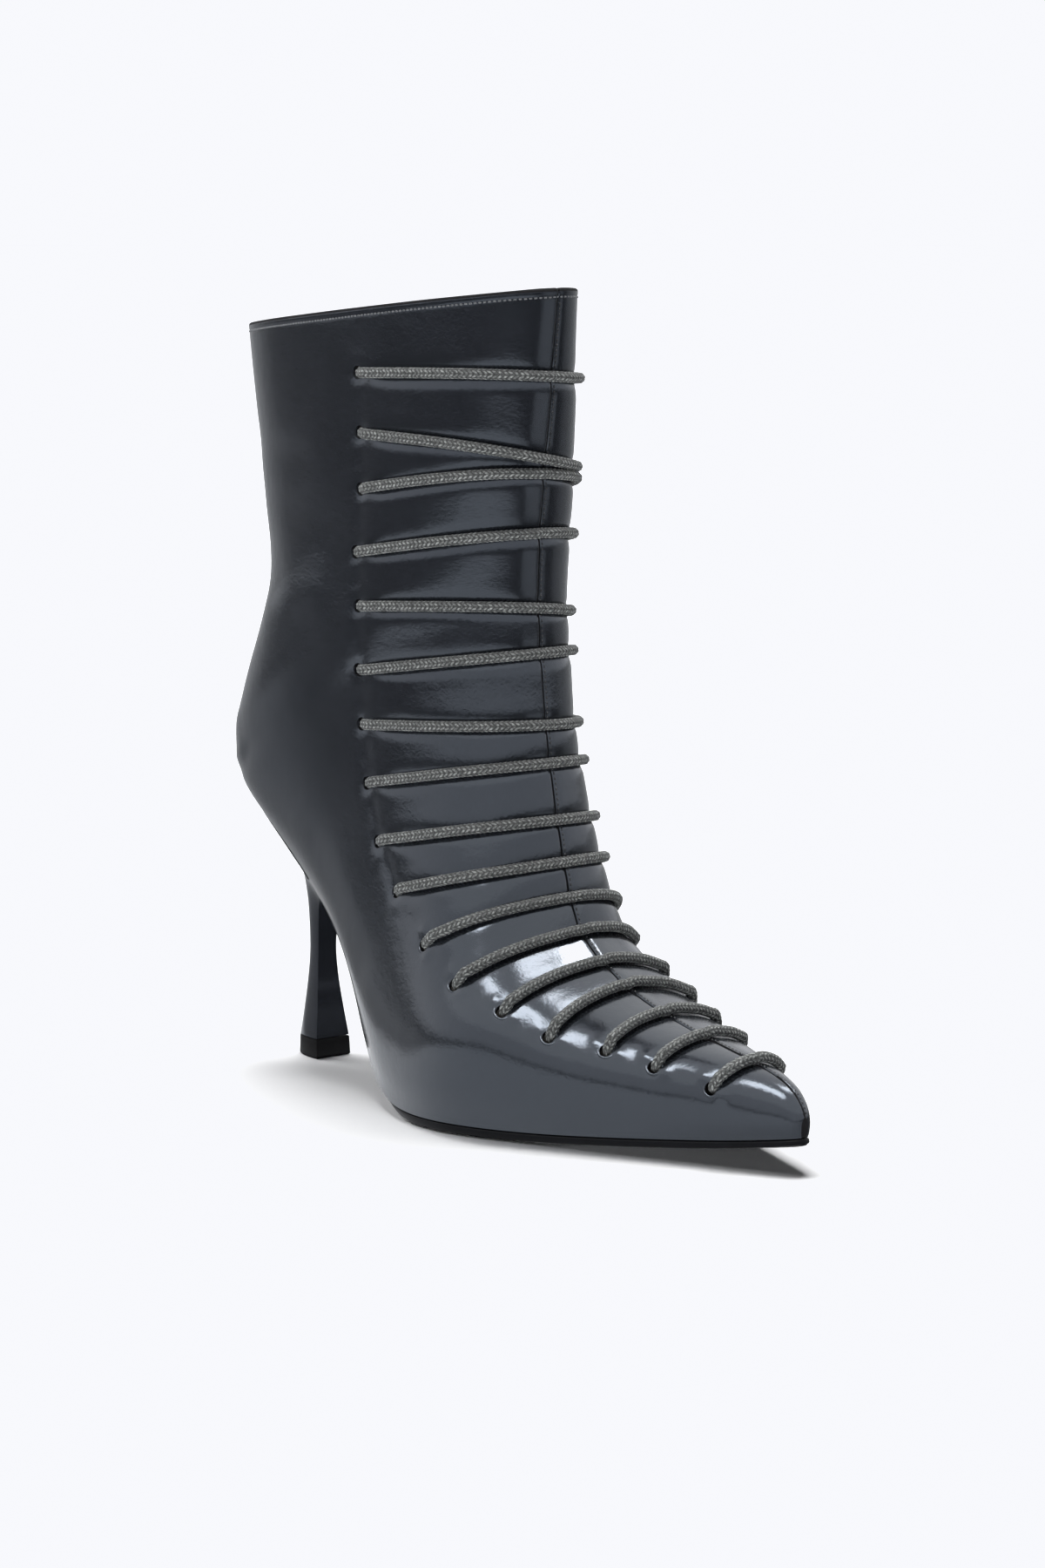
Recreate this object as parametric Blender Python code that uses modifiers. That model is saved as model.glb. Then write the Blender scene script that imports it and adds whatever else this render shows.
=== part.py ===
"""Heeled ankle boot, right foot: a pointed, high-heeled boot with a ladder of cords over its front.

Frame: +X to the toe, +Y to the inner (medial) side, +Z up, floor at Z = 0.
The origin is the middle of the heel's top piece, on the floor.
Sizes below are in millimetres and are turned into metres where a mesh is made.
"""

import math

import bmesh
import bpy
import numpy as np
from mathutils import Matrix, Vector

MM = 0.001

# Driving dimensions
LENGTH = 222.0          # middle of the heel's top piece to the tip of the toe
BALL_WIDTH = 78.0       # outer edge to inner edge of the forefoot, at the sole
HEEL_HEIGHT = 88.0      # floor to the back of the heel seat
SHAFT_HEIGHT = 242.0    # floor to the front of the collar
WALL = 1.6              # leather and lining together
GAP = 0.3               # between neighbouring pieces
SEAM_STEP = 0.6         # height of the lapped front seam
SEAM_LAP = 1.6          # width of the lap's rising edge
LAP_FULL_WIDTH = 9.6    # half width of the toe where the lap has its full height
LAP_TURN_LIMIT = 0.033  # the lap stays within this part of a half section
SOLE_AT_BALL = 3.0      # outsole thickness under the forefoot
SOLE_AT_TOE = 1.8
SOLE_AT_WAIST = 2.4
SOLE_LIP = 0.3          # outsole edge beyond the upper's lower edge
INSOLE_THICKNESS = 1.8
INSOLE_INSET = 3.4      # insole edge inside the upper's lower edge
CORD_DIAMETER = 3.0
HOLE_DIAMETER = 3.8

# The sample size that the section table is written for
SAMPLE_LENGTH = 222.0
SAMPLE_BALL_WIDTH = 78.0
SAMPLE_HEEL_HEIGHT = 88.0
SAMPLE_SHAFT_HEIGHT = 242.0

# Sections of the last, from the tip of the toe to the collar.
# Each section is a plane across the boot, from its front point on the centre seam
# to its rear point on the sole, the heel seat or the back of the shaft.
#   lateral, medial    half widths at the widest place, outer and inner side
#   level              how far the widest place is from the front point, as a part of the section
#   feather_l, _m      half widths where the upper meets the sole; 0 where the section is a ring
#   crown_l, _m        roundness of the front, outer and inner side
#   ridge              how peaked the front is along the seam
#   fullness, tuck     roundness of the side below the widest place, and of the rear end
#   rise               how steeply the side meets the sole
SECTION_COLUMNS = (
    "front_x", "front_z", "rear_x", "rear_z", "lateral", "medial", "level",
    "feather_l", "feather_m", "crown_l", "crown_m", "ridge", "fullness", "tuck", "rise",
)
SECTIONS = (
    (222.0, 15.5, 221.6, 10.7, 0.0, 0.0, 0.60, 0.0, 0.0, 0.60, 0.60, 0.08, 0.50, 0.50, 0.30),
    (221.0, 18.2, 220.7, 10.5, 2.7, 2.7, 0.60, 2.2, 2.2, 0.62, 0.66, 0.08, 0.50, 0.50, 0.30),
    (217.5, 22.4, 217.2, 10.0, 5.2, 5.1, 0.62, 4.3, 4.2, 0.66, 0.74, 0.06, 0.50, 0.50, 0.30),
    (210.5, 26.0, 210.0, 9.0, 8.6, 8.4, 0.64, 7.2, 6.9, 0.68, 0.80, 0.04, 0.50, 0.50, 0.30),
    (198.0, 29.2, 197.0, 7.4, 13.6, 13.4, 0.59, 12.0, 11.4, 0.70, 0.80, 0.03, 0.54, 0.50, 0.30),
    (182.0, 32.2, 180.0, 5.8, 20.4, 20.2, 0.58, 18.6, 17.8, 0.72, 0.70, 0.02, 0.55, 0.50, 0.30),
    (163.5, 36.5, 160.0, 4.3, 28.8, 29.2, 0.57, 26.8, 26.4, 0.74, 0.58, 0.02, 0.56, 0.50, 0.30),
    (147.0, 41.6, 138.0, 3.2, 37.6, 37.2, 0.57, 35.4, 33.8, 0.75, 0.50, 0.02, 0.57, 0.50, 0.30),
    (134.2, 48.4, 116.0, 3.2, 45.2, 39.6, 0.58, 43.0, 34.6, 0.76, 0.50, 0.02, 0.57, 0.50, 0.30),
    (124.8, 56.6, 95.0, 3.2, 45.6, 37.0, 0.61, 42.0, 28.0, 0.77, 0.56, 0.02, 0.57, 0.50, 0.30),
    (118.8, 70.5, 76.0, 7.0, 41.8, 33.6, 0.64, 36.2, 20.6, 0.78, 0.66, 0.01, 0.58, 0.52, 0.30),
    (114.4, 87.5, 57.0, 22.0, 36.6, 31.0, 0.67, 28.2, 16.6, 0.78, 0.74, 0.0, 0.58, 0.54, 0.28),
    (110.9, 105.5, 38.0, 44.0, 32.4, 29.4, 0.69, 21.8, 16.4, 0.78, 0.76, 0.0, 0.59, 0.56, 0.25),
    (108.3, 122.5, 17.0, 64.0, 29.8, 28.6, 0.65, 20.6, 18.8, 0.78, 0.80, 0.0, 0.59, 0.58, 0.20),
    (106.7, 137.0, -3.0, 77.0, 29.0, 29.6, 0.62, 18.4, 18.2, 0.78, 0.82, 0.0, 0.59, 0.62, 0.12),
    (106.0, 148.0, -17.0, 84.0, 29.0, 30.0, 0.58, 11.6, 11.6, 0.78, 0.82, 0.0, 0.58, 0.68, 0.04),
    (105.9, 157.0, -23.0, 88.0, 29.4, 30.4, 0.56, 0.0, 0.0, 0.78, 0.80, 0.0, 0.58, 0.74, 0.0),
    (106.4, 167.0, -25.0, 100.0, 29.6, 30.4, 0.54, 0.0, 0.0, 0.78, 0.79, 0.0, 0.58, 0.76, 0.0),
    (107.5, 178.0, -20.4, 118.0, 28.8, 29.8, 0.52, 0.0, 0.0, 0.77, 0.78, 0.0, 0.58, 0.74, 0.0),
    (108.9, 189.5, -12.2, 138.0, 28.4, 28.8, 0.51, 0.0, 0.0, 0.76, 0.76, 0.0, 0.58, 0.71, 0.0),
    (110.4, 201.5, -10.4, 158.0, 28.1, 27.6, 0.50, 0.0, 0.0, 0.74, 0.74, 0.0, 0.58, 0.70, 0.0),
    (112.0, 214.5, -14.4, 180.0, 27.9, 26.8, 0.50, 0.0, 0.0, 0.72, 0.72, 0.0, 0.58, 0.70, 0.0),
    (113.6, 228.0, -18.4, 203.0, 27.8, 26.0, 0.50, 0.0, 0.0, 0.71, 0.71, 0.0, 0.58, 0.70, 0.0),
    (115.2, 242.0, -21.8, 226.0, 27.8, 25.2, 0.50, 0.0, 0.0, 0.70, 0.70, 0.0, 0.58, 0.70, 0.0),
)
BALL = 8                # the section whose rear point is under the ball of the foot
SEAT_BACK = 16          # the section whose rear point is the back of the heel seat
COLLAR = len(SECTIONS) - 1
BREAST = 12.78          # the place along the sections where the heel's front face meets the sole
INSOLE_FRONT = 2.5      # the places along the sections where the insole starts and ends
INSOLE_BACK = 15.8

# Heel sections below the seat, from the seat down to the top piece
HEEL_COLUMNS = ("breast_x", "breast_z", "back_x", "back_z", "half_width")
HEEL_SECTIONS = (
    (19.5, 57.7, -20.4, 84.4, 17.2),
    (16.0, 55.6, -16.4, 79.0, 13.6),
    (11.0, 53.2, -10.0, 68.5, 8.8),
    (7.4, 50.4, -6.0, 59.5, 5.7),
    (5.3, 46.5, -4.2, 51.0, 4.3),
    (4.3, 40.5, -3.4, 42.5, 3.7),
    (3.9, 33.0, -3.2, 33.0, 3.5),
    (4.3, 25.0, -3.9, 25.0, 4.0),
    (5.4, 15.0, -5.5, 15.0, 5.1),
    (6.4, 6.3, -7.1, 6.3, 6.3),
)
TOP_PIECE_SECTIONS = (
    (6.5, 6.0, -7.2, 6.0, 6.4),
    (6.8, 0.0, -7.4, 0.0, 6.6),
)
HEEL_ROUNDNESS = 0.8    # 1 makes the back of the heel an ellipse, less makes it squarer

# Lace bars, from the collar to the toe. Each lies in a plane through its hole on the outer side,
# the point where it crosses the seam and its hole on the inner side, given as places along the
# sections. turn is how far round the section both holes are (0 at the seam, 1 at the rear).
BAR_COLUMNS = ("outer", "seam", "inner", "turn")
LACE_BARS = (
    (21.91, 21.14, 21.66, 0.46),
    (20.91, 19.23, 20.23, 0.46),
    (19.93, 18.88, 19.63, 0.46),
    (18.69, 17.34, 18.59, 0.45),
    (17.39, 15.06, 16.93, 0.41),
    (15.64, 13.88, 15.63, 0.40),
    (14.08, 12.52, 13.89, 0.41),
    (13.08, 11.89, 13.05, 0.43),
    (12.26, 10.98, 12.23, 0.43),
    (11.49, 10.28, 11.52, 0.41),
    (10.37, 9.65, 10.40, 0.36),
    (9.08, 8.92, 9.36, 0.30),
    (7.76, 7.92, 8.08, 0.27),
    (6.82, 7.09, 7.22, 0.29),
    (5.93, 6.06, 6.18, 0.27),
    (5.14, 5.13, 5.33, 0.28),
    (4.04, 3.82, 4.04, 0.33),
)

STEPS_PER_SECTION = 2   # mesh sections made for each row of the table
STEPS_FRONT = 6         # mesh columns from the seam to the widest place
STEPS_REAR = 7          # mesh columns from the widest place to the rear end
STEPS_BAR = 14          # mesh rings along a lace bar
STEPS_HEEL = 8          # mesh columns on each side of the heel
HOLE_SIDES = 10
HOLE_DEPTH = 8.0        # length of the punch that cuts a lace hole
SEARCH_REACH = 1.5      # how far along the sections a bar strays from the line between its points
SHARP_ANGLE = 35.0      # degrees; edges that turn more stay crisp
WELD = 0.01             # points closer than this are one


# Tables and curves

def spline_bends(rows):
    """Second differences that make a smooth curve through the rows of a table."""
    count = len(rows)
    system = np.eye(count)
    change = np.zeros_like(rows)
    for i in range(1, count - 1):
        system[i, i - 1:i + 2] = (1.0, 4.0, 1.0)
        change[i] = 6.0 * (rows[i - 1] - 2.0 * rows[i] + rows[i + 1])
    return np.linalg.solve(system, change)


def graded(rows, columns):
    """A table with its columns scaled from the sample size to the driving dimensions."""
    scale = {"front_z": SHAFT_HEIGHT / SAMPLE_SHAFT_HEIGHT}
    for name in ("front_x", "rear_x"):
        scale[name] = LENGTH / SAMPLE_LENGTH
    for name in ("rear_z", "breast_z", "back_z"):
        scale[name] = HEEL_HEIGHT / SAMPLE_HEEL_HEIGHT
    for name in ("lateral", "medial", "feather_l", "feather_m"):
        scale[name] = BALL_WIDTH / SAMPLE_BALL_WIDTH
    return np.asarray(rows) * [scale.get(name, 1.0) for name in columns]


SECTION_TABLE = graded(SECTIONS, SECTION_COLUMNS)
SECTION_BENDS = spline_bends(SECTION_TABLE)


def section_at(station):
    """The sizes of the section at a place along the table, by column name."""
    index = min(int(station), COLLAR - 1)
    after = station - index
    before = 1.0 - after
    values = (before * SECTION_TABLE[index] + after * SECTION_TABLE[index + 1]
              + (before ** 3 - before) * SECTION_BENDS[index] / 6.0
              + (after ** 3 - after) * SECTION_BENDS[index + 1] / 6.0)
    section = dict(zip(SECTION_COLUMNS, values))
    for name in ("lateral", "medial", "feather_l", "feather_m", "rise"):
        section[name] = max(section[name], 0.0)
    if station >= SEAT_BACK:
        section["feather_l"] = section["feather_m"] = section["rise"] = 0.0
    return section


def bezier(points, t):
    """A point of a cubic curve."""
    s = 1.0 - t
    a, b, c, d = (np.asarray(p, dtype=float) for p in points)
    return s ** 3 * a + 3.0 * s * s * t * b + 3.0 * s * t * t * c + t ** 3 * d


# The upper's outer surface

def half_section(section, side, t):
    """A point on one half of a section: t is 0 at the seam, 0.5 at the widest place, 1 at the rear.

    The answer is (distance from the front point towards the rear point, distance from the middle).
    """
    width = section["lateral"] if side < 0 else section["medial"]
    end = section["feather_l"] if side < 0 else section["feather_m"]
    crown = section["crown_l"] if side < 0 else section["crown_m"]
    run = math.hypot(section["rear_x"] - section["front_x"], section["rear_z"] - section["front_z"])
    widest = section["level"] * run
    below = run - widest
    if t <= 0.5:
        handle = (section["ridge"] * widest, crown * width)
        shoulder = (widest * (1.0 - section["fullness"]), width)
        return bezier(((0.0, 0.0), handle, shoulder, (widest, width)), 2.0 * t)
    side_handle = (widest + section["fullness"] * below, width)
    rear_handle = (run - section["rise"] * below, end + section["tuck"] * (width - end))
    return bezier(((widest, width), side_handle, rear_handle, (run, end)), 2.0 * t - 1.0)


def upper_point(station, turn):
    """A point of the upper's outer surface: turn is -1 at the outer rear, 0 at the seam, 1 inner."""
    section = section_at(station)
    side = -1.0 if turn < 0.0 else 1.0
    along, across = half_section(section, side, abs(turn))
    front = np.array((section["front_x"], 0.0, section["front_z"]))
    rear = np.array((section["rear_x"], 0.0, section["rear_z"]))
    point = front + (rear - front) / np.linalg.norm(rear - front) * along
    point[1] = side * across
    return point


def upper_normal(station, turn, step=0.01):
    """The outward direction of the upper's surface."""
    ahead = upper_point(min(station + step, COLLAR), turn)
    behind = upper_point(max(station - step, 0.0), turn)
    left = upper_point(station, max(turn - step, -1.0))
    right = upper_point(station, min(turn + step, 1.0))
    normal = np.cross(right - left, ahead - behind)
    return normal / np.linalg.norm(normal)


def seam_lap_point(station):
    """The raised edge of the seam's lap, on the inner half; it fades out at the tip of the toe."""
    section = section_at(station)
    width = section["medial"]
    speed_at_seam = max(6.0 * section["crown_m"] * width, WELD)
    turn = min(SEAM_LAP / speed_at_seam, LAP_TURN_LIMIT)
    point = upper_point(station, turn)
    if width < SEAM_LAP:
        return point
    step = SEAM_STEP * min(1.0, width / LAP_FULL_WIDTH)
    return point + upper_normal(station, turn) * step


# The line of the sole

def sole_point(station):
    """The middle of the upper's lower edge: where it meets the sole or the heel seat."""
    section = section_at(station)
    return np.array((section["rear_x"], 0.0, section["rear_z"]))


def sole_normal(station, step=0.05):
    """The upward direction of the sole, square to its line."""
    ahead = sole_point(max(station - step, 0.0))
    behind = sole_point(min(station + step, SEAT_BACK))
    direction = (ahead - behind) / np.linalg.norm(ahead - behind)
    return np.array((-direction[2], 0.0, direction[0]))


def sole_edges(station, rise, grow):
    """The outer and inner edge of the sole's line, raised along its normal and widened."""
    section = section_at(station)
    middle = sole_point(station) + sole_normal(station) * rise
    outer = middle + np.array((0.0, -max(section["feather_l"] + grow, 0.0), 0.0))
    inner = middle + np.array((0.0, max(section["feather_m"] + grow, 0.0), 0.0))
    return outer, inner


def station_at_sole_x(x, low, high):
    """The station between low and high whose sole point lies at x."""
    for _ in range(40):
        middle = 0.5 * (low + high)
        if sole_point(middle)[0] > x:
            low = middle
        else:
            high = middle
    return 0.5 * (low + high)


def sole_thickness(station):
    """Outsole thickness: thin at the toe and waist, full under the ball."""
    if station < BALL:
        part = station / BALL
        return SOLE_AT_TOE + (SOLE_AT_BALL - SOLE_AT_TOE) * math.sin(0.5 * math.pi * part)
    part = min((station - BALL) / (BREAST - BALL), 1.0)
    return SOLE_AT_BALL + (SOLE_AT_WAIST - SOLE_AT_BALL) * 0.5 * (1.0 - math.cos(math.pi * part))


# The lace

def bar_points(bar):
    """Centre line of one lace bar, clear of the upper, from its outer hole to its inner one."""
    seam = upper_point(bar["seam"], 0.0)
    outer = upper_point(bar["outer"], -bar["turn"])
    inner = upper_point(bar["inner"], bar["turn"])
    plane = np.cross(outer - seam, inner - seam)
    clear = 0.5 * CORD_DIAMETER + GAP + SEAM_STEP
    points = []
    for turn in np.linspace(-bar["turn"], bar["turn"], STEPS_BAR):
        end = bar["outer"] if turn < 0.0 else bar["inner"]
        guess = bar["seam"] + (end - bar["seam"]) * abs(turn) / bar["turn"]
        station = station_on_plane(turn, guess, seam, plane)
        points.append(upper_point(station, turn) + clear * upper_normal(station, turn))
    return points


def station_on_plane(turn, guess, point, plane):
    """The station near a guess where a line of equal turn meets a plane through a point."""
    def height(station):
        return float(np.dot(upper_point(station, turn) - point, plane))

    low = max(guess - SEARCH_REACH, 0.0)
    high = min(guess + SEARCH_REACH, COLLAR)
    rising = height(high) > height(low)
    for _ in range(30):
        middle = 0.5 * (low + high)
        if (height(middle) > 0.0) == rising:
            high = middle
        else:
            low = middle
    return 0.5 * (low + high)


# Making objects

def empty_scene():
    """Remove every object that the file starts with."""
    for old in list(bpy.data.objects):
        bpy.data.objects.remove(old, do_unlink=True)


def make_collection(name):
    """A new collection in the scene."""
    collection = bpy.data.collections.new(name)
    bpy.context.scene.collection.children.link(collection)
    return collection


def make_material(name, colour, roughness, coat=0.0):
    """A plain surface in one colour."""
    material = bpy.data.materials.new(name)
    material.use_nodes = True
    shader = material.node_tree.nodes["Principled BSDF"]
    shader.inputs["Base Color"].default_value = (*colour, 1.0)
    shader.inputs["Roughness"].default_value = roughness
    shader.inputs["Metallic"].default_value = 0.0
    shader.inputs["Coat Weight"].default_value = coat
    material.diffuse_color = (*colour, 1.0)
    return material


def mesh_object(name, points, faces, collection, material):
    """An object from points in millimetres; points that coincide are welded."""
    shape = bmesh.new()
    corners = [shape.verts.new([float(value) * MM for value in point]) for point in points]
    for face in faces:
        shape.faces.new([corners[index] for index in face])
    bmesh.ops.remove_doubles(shape, verts=shape.verts, dist=WELD * MM)
    bmesh.ops.dissolve_degenerate(shape, edges=shape.edges, dist=WELD * MM)
    if not any(edge.is_boundary for edge in shape.edges):
        bmesh.ops.recalc_face_normals(shape, faces=shape.faces)
        if shape.calc_volume(signed=True) < 0.0:
            bmesh.ops.reverse_faces(shape, faces=shape.faces)
    mesh = bpy.data.meshes.new(name)
    shape.to_mesh(mesh)
    shape.free()
    mesh.materials.append(material)
    mesh.shade_smooth()
    mesh.set_sharp_from_angle(angle=math.radians(SHARP_ANGLE))
    thing = bpy.data.objects.new(name, mesh)
    collection.objects.link(thing)
    return thing


def loop_loft(loops):
    """Points and faces of a tube through loops of equal count, open at both ends."""
    count = len(loops[0])
    points = [point for loop in loops for point in loop]
    faces = []
    for row in range(len(loops) - 1):
        for i in range(count):
            k = (i + 1) % count
            faces.append((row * count + i, row * count + k, (row + 1) * count + k, (row + 1) * count + i))
    return points, faces


def make_upper(collection, cutters, material, cutter_material):
    """The leather upper: one surface from toe to collar, given its wall, with its lace holes."""
    stations = np.linspace(0.0, COLLAR, COLLAR * STEPS_PER_SECTION + 1)
    front = np.linspace(0.0, 0.5, STEPS_FRONT + 1)
    rear = np.linspace(0.5, 1.0, STEPS_REAR + 1)
    turns = np.concatenate((front, rear[1:]))
    points = []
    for station in stations:
        outer = [upper_point(station, -turn) for turn in turns[::-1]]
        inner = [upper_point(station, turn) for turn in turns[1:]]
        points.extend(outer + [seam_lap_point(station)] + inner)
    count = 2 * len(turns)
    faces = []
    for row in range(len(stations) - 1):
        for i in range(count - 1):
            start = row * count + i
            faces.append((start, start + 1, start + count + 1, start + count))
    upper = mesh_object("upper", points, faces, collection, material)
    wall = upper.modifiers.new("wall", "SOLIDIFY")
    wall.thickness = WALL * MM
    wall.offset = -1.0
    wall.use_even_offset = True
    wall.use_quality_normals = True
    holes = upper.modifiers.new("lace holes", "BOOLEAN")
    holes.operation = "DIFFERENCE"
    holes.solver = "EXACT"
    holes.object = make_hole_punch(cutters, cutter_material)
    return upper


def make_hole_punch(cutters, material):
    """All the punches for the lace holes, square to the upper's surface, as one cutter."""
    shape = bmesh.new()
    for row in LACE_BARS:
        bar = dict(zip(BAR_COLUMNS, row))
        for station, turn in ((bar["outer"], -bar["turn"]), (bar["inner"], bar["turn"])):
            place = Vector(upper_point(station, turn)) * MM
            direction = Vector(upper_normal(station, turn))
            turned = direction.to_track_quat("Z", "Y").to_matrix().to_4x4()
            bmesh.ops.create_cone(
                shape, cap_ends=True, segments=HOLE_SIDES,
                radius1=0.5 * HOLE_DIAMETER * MM, radius2=0.5 * HOLE_DIAMETER * MM,
                depth=HOLE_DEPTH * MM, matrix=Matrix.Translation(place) @ turned)
    mesh = bpy.data.meshes.new("lace_hole_punch")
    shape.to_mesh(mesh)
    shape.free()
    mesh.materials.append(material)
    punch = bpy.data.objects.new("lace_hole_punch", mesh)
    punch.display_type = "WIRE"
    punch.hide_render = True
    cutters.objects.link(punch)
    return punch


def slab(stations, low, high, grow):
    """A thin layer along the sole: points and faces of its closed body.

    low and high give the height of its two faces over the sole's line at a station.
    """
    loops = []
    for station in stations:
        outer_low, inner_low = sole_edges(station, low(station), grow)
        outer_high, inner_high = sole_edges(station, high(station), grow)
        loop = [outer_high, outer_low, inner_low, inner_high]
        for point in loop:
            point[2] = max(point[2], 0.0)
        loops.append(loop)
    points, faces = loop_loft(loops)
    last = len(points)
    faces.append((3, 2, 1, 0))
    faces.append((last - 4, last - 3, last - 2, last - 1))
    return points, faces


def make_outsole(collection, material):
    """The thin sole, from the tip of the toe to the front of the heel."""
    end = station_at_sole_x(sole_point(BREAST)[0] + GAP, BALL, BREAST)
    stations = np.linspace(0.0, end, 2 * math.ceil(end) + 1)
    points, faces = slab(stations, lambda s: -GAP - sole_thickness(s), lambda s: -GAP, SOLE_LIP)
    return mesh_object("outsole", points, faces, collection, material)


def make_insole(collection, material):
    """The insole, inside the upper, from near the toe to the back of the seat."""
    stations = np.linspace(INSOLE_FRONT, INSOLE_BACK, 2 * SEAT_BACK - 4)
    points, faces = slab(stations, lambda s: 0.0, lambda s: INSOLE_THICKNESS, -INSOLE_INSET)
    return mesh_object("insole", points, faces, collection, material)


def heel_loop(section):
    """One section of the heel: a flat front and a rounded back."""
    loop = []
    for i in range(-STEPS_HEEL, STEPS_HEEL + 1):
        angle = 0.5 * math.pi * (1.0 - abs(i) / STEPS_HEEL)
        back = math.sin(angle)
        side = math.copysign(math.cos(angle) ** HEEL_ROUNDNESS, i) if i else 0.0
        loop.append(np.array((
            section["breast_x"] + (section["back_x"] - section["breast_x"]) * back,
            side * section["half_width"],
            section["breast_z"] + (section["back_z"] - section["breast_z"]) * back,
        )))
    return loop


def seat_loop():
    """The heel's top edge, under the upper's lower edge."""
    breast_x = sole_point(BREAST)[0]
    back_x = sole_point(SEAT_BACK)[0]
    loop = []
    for i in range(-STEPS_HEEL, STEPS_HEEL + 1):
        back = math.sin(0.5 * math.pi * (1.0 - abs(i) / STEPS_HEEL))
        station = station_at_sole_x(breast_x + (back_x - breast_x) * back, BREAST, SEAT_BACK)
        outer, inner = sole_edges(station, -GAP, 0.0)
        loop.append(outer if i < 0 else inner)
    loop[STEPS_HEEL][1] = 0.0
    return loop


def make_heel(collection, material):
    """The covered heel: from the seat, through a slender stem, down to the rubber tip."""
    rows = graded(HEEL_SECTIONS, HEEL_COLUMNS)
    loops = [seat_loop()] + [heel_loop(dict(zip(HEEL_COLUMNS, row))) for row in rows]
    points, faces = loop_loft(loops)
    count = len(loops[0])
    for i in range(STEPS_HEEL - 1):
        across = count - 1 - i
        faces.append((across, across - 1, i + 1, i))
    faces.append((STEPS_HEEL + 1, STEPS_HEEL, STEPS_HEEL - 1))
    faces.append(tuple(range(len(points) - count, len(points))))
    return mesh_object("heel", points, faces, collection, material)


def make_top_piece(collection, material):
    """The rubber tip under the heel."""
    loops = [heel_loop(dict(zip(HEEL_COLUMNS, row))) for row in TOP_PIECE_SECTIONS]
    points, faces = loop_loft(loops)
    count = len(loops[0])
    faces.append(tuple(range(count - 1, -1, -1)))
    faces.append(tuple(range(count, 2 * count)))
    return mesh_object("top_piece", points, faces, collection, material)


def make_lace_bar(number, row, collection, material):
    """One straight run of the lace over the front of the boot."""
    points = bar_points(dict(zip(BAR_COLUMNS, row)))
    curve = bpy.data.curves.new(f"lace_bar_{number:02d}", "CURVE")
    curve.dimensions = "3D"
    curve.bevel_depth = 0.5 * CORD_DIAMETER * MM
    curve.bevel_resolution = 2
    curve.use_fill_caps = True
    spline = curve.splines.new("POLY")
    spline.points.add(len(points) - 1)
    for corner, point in zip(spline.points, points):
        corner.co = (*(point * MM), 1.0)
    curve.materials.append(material)
    bar = bpy.data.objects.new(curve.name, curve)
    collection.objects.link(bar)
    return bar


def main():
    """Build the boot."""
    empty_scene()
    boot = make_collection("heeled_ankle_boot")
    cutters = make_collection("cutters")
    patent = make_material("patent_leather", (0.045, 0.048, 0.058), 0.12, coat=1.0)
    rubber = make_material("black_rubber", (0.012, 0.012, 0.014), 0.45)
    sole_black = make_material("sole_black", (0.010, 0.010, 0.013), 0.35)
    heel_cover = make_material("heel_cover", (0.035, 0.037, 0.045), 0.12, coat=1.0)
    lining = make_material("insole_lining", (0.16, 0.15, 0.14), 0.75)
    cord = make_material("waxed_cord", (0.115, 0.120, 0.115), 0.6)
    make_upper(boot, cutters, patent, patent)
    make_outsole(boot, sole_black)
    make_insole(boot, lining)
    make_heel(boot, heel_cover)
    make_top_piece(boot, rubber)
    for number, row in enumerate(LACE_BARS, start=1):
        make_lace_bar(number, row, boot, cord)


main()
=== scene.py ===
"""Looks for the heeled ankle boot: glossy leather, a ladder of waxed cords, a slender heel.

Frame: metres, +X to the toe, +Y to the inner side, +Z up. Sizes in the tables are millimetres.
"""

import math

import bmesh
import bpy
import numpy as np
from mathutils import Matrix, Vector


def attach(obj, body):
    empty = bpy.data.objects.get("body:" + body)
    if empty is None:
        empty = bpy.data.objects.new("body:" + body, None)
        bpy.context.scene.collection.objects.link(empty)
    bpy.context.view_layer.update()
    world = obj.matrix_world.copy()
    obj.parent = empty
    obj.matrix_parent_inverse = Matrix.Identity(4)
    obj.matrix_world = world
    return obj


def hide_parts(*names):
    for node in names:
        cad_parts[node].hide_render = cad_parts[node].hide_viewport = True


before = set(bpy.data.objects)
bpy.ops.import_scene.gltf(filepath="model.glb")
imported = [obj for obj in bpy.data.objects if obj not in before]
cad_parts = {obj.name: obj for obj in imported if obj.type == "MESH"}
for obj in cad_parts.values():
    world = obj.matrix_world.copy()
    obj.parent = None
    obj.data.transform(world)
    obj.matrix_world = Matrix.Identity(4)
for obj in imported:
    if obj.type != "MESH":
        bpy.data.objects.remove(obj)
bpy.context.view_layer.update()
MM = 0.001

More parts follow.
